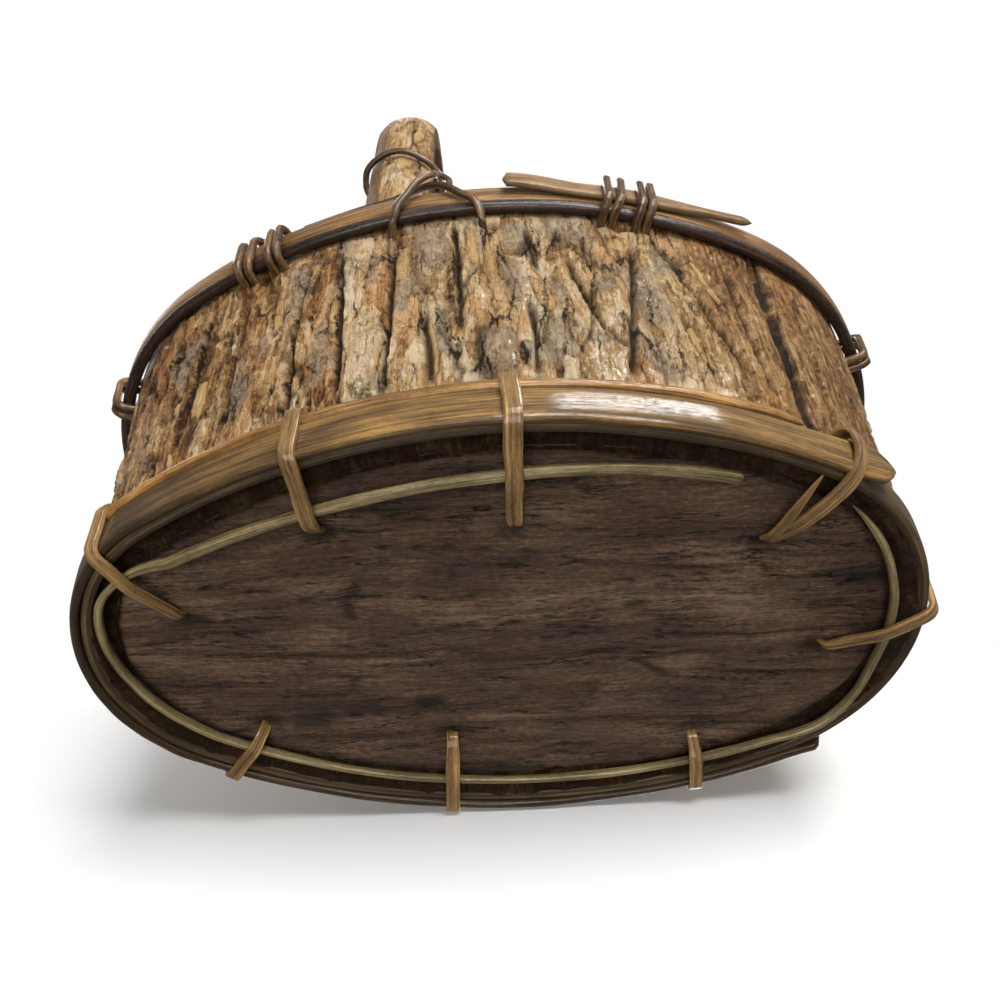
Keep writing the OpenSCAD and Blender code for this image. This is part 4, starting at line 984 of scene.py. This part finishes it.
for seed, (name, (angle, pairs, held)) in enumerate(LASHINGS.items()):
    outside = held + 0.35 + LASH / 2
    lash_corners = [
        (outside - LASH_CORNER, lash_low + LASH_CORNER, -90),
        (outside - LASH_CORNER, lash_top - LASH_CORNER, 0),
        (lash_inside + LASH_CORNER, lash_top - LASH_CORNER, 90),
        (lash_inside + LASH_CORNER, lash_low + LASH_CORNER, 180),
    ]
    starts = []
    for i in range(pairs):
        first = (i - (pairs - 1) / 2) * LASH_STEP - LASH_PITCH / 2
        starts += [first, first + LASH_PITCH]
    places = [(lash_inside - LASH / 2, starts[0], lash_low)]
    for t, start in enumerate(starts):
        last = t == len(starts) - 1
        after = start + LASH_PITCH if last else starts[t + 1]
        for q, (cx, cz, begin) in enumerate(lash_corners[:3] if last else lash_corners):
            for k in range(6):
                a = math.radians(begin + 18 * k)
                aside = start + (after - start) * (6 * q + k) / 23
                places.append((cx + LASH_CORNER * math.cos(a), aside, cz + LASH_CORNER * math.sin(a)))
    places.append((lash_inside, starts[-1] + LASH_PITCH * 0.75, lash_low + LASH + 0.4))
    places = smooth_through(np.array(places), 2)
    foot_x, foot_y = outline(angle, 0)
    turn = math.radians(angle)
    reach = places[:, 2] * math.sin(FLARE) + places[:, 0] * math.cos(FLARE)
    path = np.stack([
        foot_x + reach * math.cos(turn) - places[:, 1] * math.sin(turn),
        foot_y + reach * math.sin(turn) + places[:, 1] * math.cos(turn),
        FOOT_Z + places[:, 2] * math.cos(FLARE) - places[:, 0] * math.sin(FLARE),
    ], -1)
    sideways = np.array([-math.sin(turn), math.cos(turn), 0.0])
    face = np.cross(np.gradient(path, axis=0), sideways)
    winding = lay_cane(f"winding_{name}", path, face, 2.1, LASH, 0.3, 140 + 3 * seed, sides=14)
    dress(winding, f"lashing_{name}", lashing_cane)

# Handle: a split branch with its bark left on outside and smooth brown wood inside, bent over the
# basket. Its two legs lean against the inside of the front and back walls.
HANDLE_X, HANDLE_WIDTH, HANDLE_THICK, CROWN, HANDLE_DEPTH, HANDLE_RISE = -26.0, 19.0, 9.0, 4.0, 38.0, 70.0
TOP_Z = FOOT_Z + WALL_HEIGHT
lean = math.radians(round(10 * math.degrees(math.atan2(RIM_OUT - RIM_BARK + FOOT_BARK, WALL_HEIGHT))) / 10)
swing = math.asin((HANDLE_X - SHIFT) / (SIDE_RADIUS + RIM_OUT))
crown_radius = (HANDLE_WIDTH ** 2 / 4 + CROWN ** 2) / (2 * CROWN)
leg_face = (
    (SIDE_RADIUS + RIM_OUT) * math.cos(swing) - SIDE_CENTRE - (RIM_BARK + 0.35) / math.cos(swing)
    - crown_radius * (1 / math.cos(swing) - 1)
)
leg_y = leg_face + HANDLE_RISE * math.tan(lean) - HANDLE_THICK / 2 / math.cos(lean)
arch_radius = leg_y / math.cos(lean)
arch_z = TOP_Z + HANDLE_RISE + arch_radius * math.sin(lean)
leg_length = (HANDLE_RISE + HANDLE_DEPTH) / math.cos(lean)
arch_turn = math.pi + 2 * lean
whole = 2 * leg_length + arch_radius * arch_turn
BRANCH_STEPS = 420
at = np.linspace(0, whole, BRANCH_STEPS)
on_arch = np.clip((at - leg_length) / arch_radius, 0, arch_turn) - lean
before, beyond = np.clip(leg_length - at, 0, None), np.clip(at - whole + leg_length, 0, None)
bend_y, bend_z = np.cos(on_arch), np.sin(on_arch)
middle_y = -arch_radius * bend_y + before * math.sin(lean) - beyond * math.sin(lean)
middle_z = arch_z + arch_radius * bend_z - (before + beyond) * math.cos(lean)
half_width = HANDLE_WIDTH / 2
over = np.linspace(-half_width, half_width, 44)
bark_side = np.stack([over, HANDLE_THICK / 2 - crown_radius + np.sqrt(crown_radius ** 2 - over ** 2)], -1)
edge_low = np.linspace(bark_side[-1, 1], -HANDLE_THICK / 2, 8)[1:-1]
section = np.concatenate([
    bark_side, np.stack([0 * edge_low + half_width, edge_low], -1),
    np.stack([np.linspace(half_width, -half_width, 14), np.full(14, -HANDLE_THICK / 2)], -1),
    np.stack([0 * edge_low - half_width, edge_low[::-1]], -1),
])
is_bark = np.zeros(len(section))
is_bark[:44] = ramp(over, 3.8 - half_width, 4.4 - half_width)
branch_s, branch_v = np.meshgrid(section[:, 0], at, indexing="ij")
rise, branch_tone, branch_crack, _, _ = bark_relief(branch_s + 40, branch_v, 211)
inset = ramp(half_width - np.abs(section[:, 0]), 0, 1.5)[:, None] * is_bark[:, None]
worn = (
    (np.clip(0.5 * rise, -1.2, 0.15) - 0.1) * inset
    + 0.12 * mottle(branch_s / 3, branch_v / 25, 212) * (1 - is_bark[:, None])
)
pinch = 1 - 0.05 * (0.5 + 0.5 * mottle(at / 30, 0 * at, 213))
reach = section[:, 1:] + worn
ring = np.stack([
    HANDLE_X + section[:, :1] * pinch[None],
    middle_y[None] - reach * bend_y[None], middle_z[None] + reach * bend_z[None],
], -1)
around = np.concatenate([[0], np.cumsum(np.hypot(*np.diff(section, axis=0).T))])
branch_way = np.stack(np.broadcast_arrays(around[:, None], at[None], np.full((1, 1), 5.0)), -1)
bark_mask = is_bark[:, None] + 0 * at[None]
branch_worn = np.broadcast_to(1 - 0.6 * is_bark[:, None], branch_s.shape)
branch_paint = np.stack([
    branch_tone * bark_mask + (0.35 + 0.2 * mottle(branch_s / 2, branch_v / 30, 214)) * (1 - bark_mask),
    0.8 * branch_crack * bark_mask + 0.4 * (1 - bark_mask),
    0.55 * ramp(mottle(branch_s / 5, branch_v / 20, 215), 0.1, 0.5) * bark_mask,
    0.5 * ramp(mottle(branch_s / 8, branch_v / 24, 216), 0.2, 0.6) * bark_mask,
], -1)
branch = knit("branch", ring, True, False, branch_way, branch_paint, branch_worn)
dress(branch, "handle_branch", bark_finish("branch_bark"))

# Handle canes: on each side a dark cane that comes out of the wall and ties the leg, and another
# that lies on the rim, passes before the leg's foot and goes down into the wall.
lash_radius = LASH / 2
over_hoop, over_brace = 3.4 + 0.35 + lash_radius, 3.4 + 0.35 + 3 * lash_radius + 0.8
beside, before_leg = HANDLE_WIDTH / 2 + 0.2 + lash_radius, 0.4 + lash_radius
behind, mid_leg = -HANDLE_THICK / math.cos(lean) - 0.6 - lash_radius, -HANDLE_THICK / 2 / math.cos(lean)
inside = -(RIM_BARK + 0.35 + lash_radius)


def by_wall(x, y, z):
    """A place near the handle at the front: along, out from the wall's face, up from the rim."""
    x, z = HANDLE_X + x, TOP_Z + z
    radius = SIDE_RADIUS + (z - FOOT_Z) * math.tan(FLARE) + y
    return x, SIDE_CENTRE - math.sqrt(radius ** 2 - (x - SHIFT) ** 2), z


def by_leg(x, y, z):
    """The same, out from the bark side of the leg."""
    return HANDLE_X + x, -leg_face - z * math.tan(lean) - y, TOP_Z + z


def climb(start, stop):
    """Places on the way from one point to another."""
    start, stop = np.array(start), np.array(stop)
    return [start + share * (stop - start) for share in (0, 0.18, 0.5, 0.82, 1)]


TIE = 47.0
half_leg = HANDLE_WIDTH / 2
beyond_leg = beside + 5.5
out_of_wall = [by_wall(*p) for p in (
    (2, -RIM_BARK, -12.4), (2, lash_radius, -12.4), (2.6, over_hoop - lash_radius, -11.4),
    (3.6, over_hoop + 0.4, -9), (5.5, over_hoop + 1, -6), (8, over_brace - 0.6, -3),
    (10.5, over_brace - 0.5, -0.5),
)]
up_leg = climb(by_wall(12, over_brace - 1.5, 2.5), by_leg(beside, -CROWN / 2, TIE - 7))
round_leg = [by_leg(*p) for p in (
    (beside + 0.3, mid_leg, TIE - 3.5), (beside - 0.6, behind, TIE - 1.5), (0, behind, TIE),
    (0.6 - beside, behind, TIE + 1.3), (-beside - 0.3, mid_leg, TIE + 2.2),
    (2.5 - half_leg, before_leg - CROWN / 2, TIE + 2.6), (0, before_leg + 0.2, TIE + 2.2),
    (half_leg - 2, before_leg - CROWN / 2, TIE + 0.8), (beside + 1.2, mid_leg, TIE + 0.3),
)]
down_inside = climb(by_leg(beside + 3.8, mid_leg - 0.5, TIE - 3), by_wall(beyond_leg, inside - 0.2, 4))
tie_points = out_of_wall + up_leg + round_leg + down_inside + [by_wall(beyond_leg, inside - 0.2, -4)]
on_hoop = 0.9 + lash_radius
brace_points = [by_wall(*p) for p in (
    (-22, 1.2, on_hoop), (-14, 1.2, on_hoop), (-6, 1.4, on_hoop + 0.2), (2, 1.8, on_hoop + 0.3),
    (9, 3.4, on_hoop + 0.2), (14, over_hoop + 0.2, -1.5), (19, over_hoop, -7),
    (22.5, over_hoop - 0.4, -11), (24, lash_radius, -14.4), (24, inside - LASH, -14.4),
)]
handle_cane = cane_finish(
    "handle_cane", (0.22, 0.11, 0.036), (0.065, 0.03, 0.01), (0.016, 0.007, 0.003), 0.26, coat=1.0
)
for seed, (name, points) in enumerate((("tie", tie_points), ("brace", brace_points))):
    for mirrored, end in ((1, "front"), (-1, "back")):
        path = smooth_through(np.array(points) * (1, mirrored, 1), 6)
        face = np.repeat([[0.0, -mirrored * 1.0, 0.35]], len(path), 0)
        cane = lay_cane(f"{name}_cane_{end}", path, face, LASH, LASH * 0.9, 0.2, 170 + 4 * seed, sides=12)
        dress(cane, f"handle_{name}_{end}", handle_cane)

# Stage: a pale floor under the standing basket, and a pale table behind it for the view in which it
# lies on its back. Both fade into the white backdrop, show only from above, and keep the shadow.


def stage_finish(name, near, far):
    """Pale matt surface for the camera alone, fading out between two distances."""
    material = bpy.data.materials.new(name)
    material.use_nodes = True
    nodes, links = material.node_tree.nodes, material.node_tree.links
    nodes.clear()
    output = nodes.new("ShaderNodeOutputMaterial")
    shaders = ("BsdfDiffuse", "BsdfTransparent", "MixShader")
    matt, clear, mix = (nodes.new(f"ShaderNode{kind}") for kind in shaders)
    matt.inputs["Color"].default_value = (0.86, 0.86, 0.85, 1)
    readings = ("LightPath", "NewGeometry", "TexCoord")
    light, facing, place = (nodes.new(f"ShaderNode{kind}") for kind in readings)
    away, fade = nodes.new("ShaderNodeVectorMath"), nodes.new("ShaderNodeMapRange")
    away.operation = "LENGTH"
    links.new(place.outputs["Object"], away.inputs[0])
    fade.interpolation_type = "SMOOTHSTEP"
    for key, value in (("From Min", near), ("From Max", far), ("To Min", 1.0), ("To Max", 0.0)):
        fade.inputs[key].default_value = value
    links.new(away.outputs["Value"], fade.inputs["Value"])
    front, seen, shown = (nodes.new("ShaderNodeMath") for _ in range(3))
    front.operation, seen.operation, shown.operation = "SUBTRACT", "MULTIPLY", "MULTIPLY"
    front.inputs[0].default_value = 1.0
    links.new(facing.outputs["Backfacing"], front.inputs[1])
    links.new(light.outputs["Is Camera Ray"], seen.inputs[0])
    links.new(front.outputs[0], seen.inputs[1])
    links.new(seen.outputs[0], shown.inputs[0])
    links.new(fade.outputs[0], shown.inputs[1])
    links.new(shown.outputs[0], mix.inputs[0])
    links.new(clear.outputs[0], mix.inputs[1])
    links.new(matt.outputs[0], mix.inputs[2])
    links.new(mix.outputs[0], output.inputs["Surface"])
    return material


bpy.ops.mesh.primitive_plane_add(size=3.0, location=(0, 0, 0))
floor = bpy.context.object
floor.name = "floor"
floor.data.materials.append(stage_finish("pale_floor", 0.25, 0.9))
bpy.ops.mesh.primitive_plane_add(
    size=1.2, location=(0, 0.0489, -0.005), rotation=(math.radians(90 - 19.7), 0, 0)
)
table = bpy.context.object
table.name = "table"
table.data.materials.append(stage_finish("pale_table", 0.09, 0.18))
for plane in (floor, table):
    plane.select_set(False)

# Light: a large soft lamp before the front wall, a long narrow one that shines on the foot canes, one
# over the mouth, one towards the base, one behind, and an even pale room. Place, width, height, watts.
LAMPS = (
    ("over_front", (0.2, -0.84, 0.04), 0.5, 0.5, 9.5),
    ("shine_on_canes", (0.28, -0.58, 0.46), 0.36, 0.1, 2.3),
    ("over_mouth", (-0.25, 0.1, 0.85), 0.6, 0.6, 5.0),
    ("towards_base", (-0.1, -0.42, -0.65), 0.5, 0.5, 4.0),
    ("behind", (0.35, 0.8, 0.35), 0.6, 0.6, 4.5),
)
for name, place, wide, tall, watts in LAMPS:
    lamp = bpy.data.objects.new(name, bpy.data.lights.new(name, "AREA"))
    lamp.data.shape = "RECTANGLE"
    lamp.data.size, lamp.data.size_y, lamp.data.energy = wide, tall, watts
    aim = np.array(place) - np.array([0, 0, 0.05])
    aim = aim / np.linalg.norm(aim)
    aside = np.cross([0, 0, 1], aim)
    aside = aside / np.linalg.norm(aside)
    pose = np.eye(4)
    pose[:3, 0], pose[:3, 1], pose[:3, 2], pose[:3, 3] = aside, np.cross(aim, aside), aim, place
    lamp.matrix_world = Matrix(pose.tolist())
    bpy.context.collection.objects.link(lamp)
world = bpy.data.worlds.new("pale_room")
bpy.context.scene.world = world
world.use_nodes = True
nodes, links = world.node_tree.nodes, world.node_tree.links
room = nodes["Background"]
seen, light, pick = (nodes.new(f"ShaderNode{kind}") for kind in ("Background", "LightPath", "MixShader"))
room.inputs[0].default_value, room.inputs[1].default_value = (1.0, 0.99, 0.97, 1), 0.21
seen.inputs[0].default_value, seen.inputs[1].default_value = (1, 1, 1, 1), 1.0
links.new(light.outputs["Is Camera Ray"], pick.inputs[0])
links.new(room.outputs[0], pick.inputs[1])
links.new(seen.outputs[0], pick.inputs[2])
links.new(pick.outputs[0], nodes["World Output"].inputs["Surface"])

# Camera: close under the base and in front of it, looking up the seam side, as at a basket that lies
# on its back on a table.
camera = bpy.data.objects.new("camera", bpy.data.cameras.new("camera"))
bpy.context.collection.objects.link(camera)
camera.data.sensor_width, camera.data.lens, camera.data.clip_start = 36.0, 27.0, 0.005
camera.matrix_world = Matrix((
    (0.9991, 0.0376, -0.0173, -0.00341),
    (0.0233, -0.8571, -0.5147, -0.10296),
    (-0.0342, 0.5138, -0.8572, -0.11281),
    (0.0, 0.0, 0.0, 1.0),
))
bpy.context.scene.camera = camera
bpy.context.scene.view_settings.view_transform = "Standard"
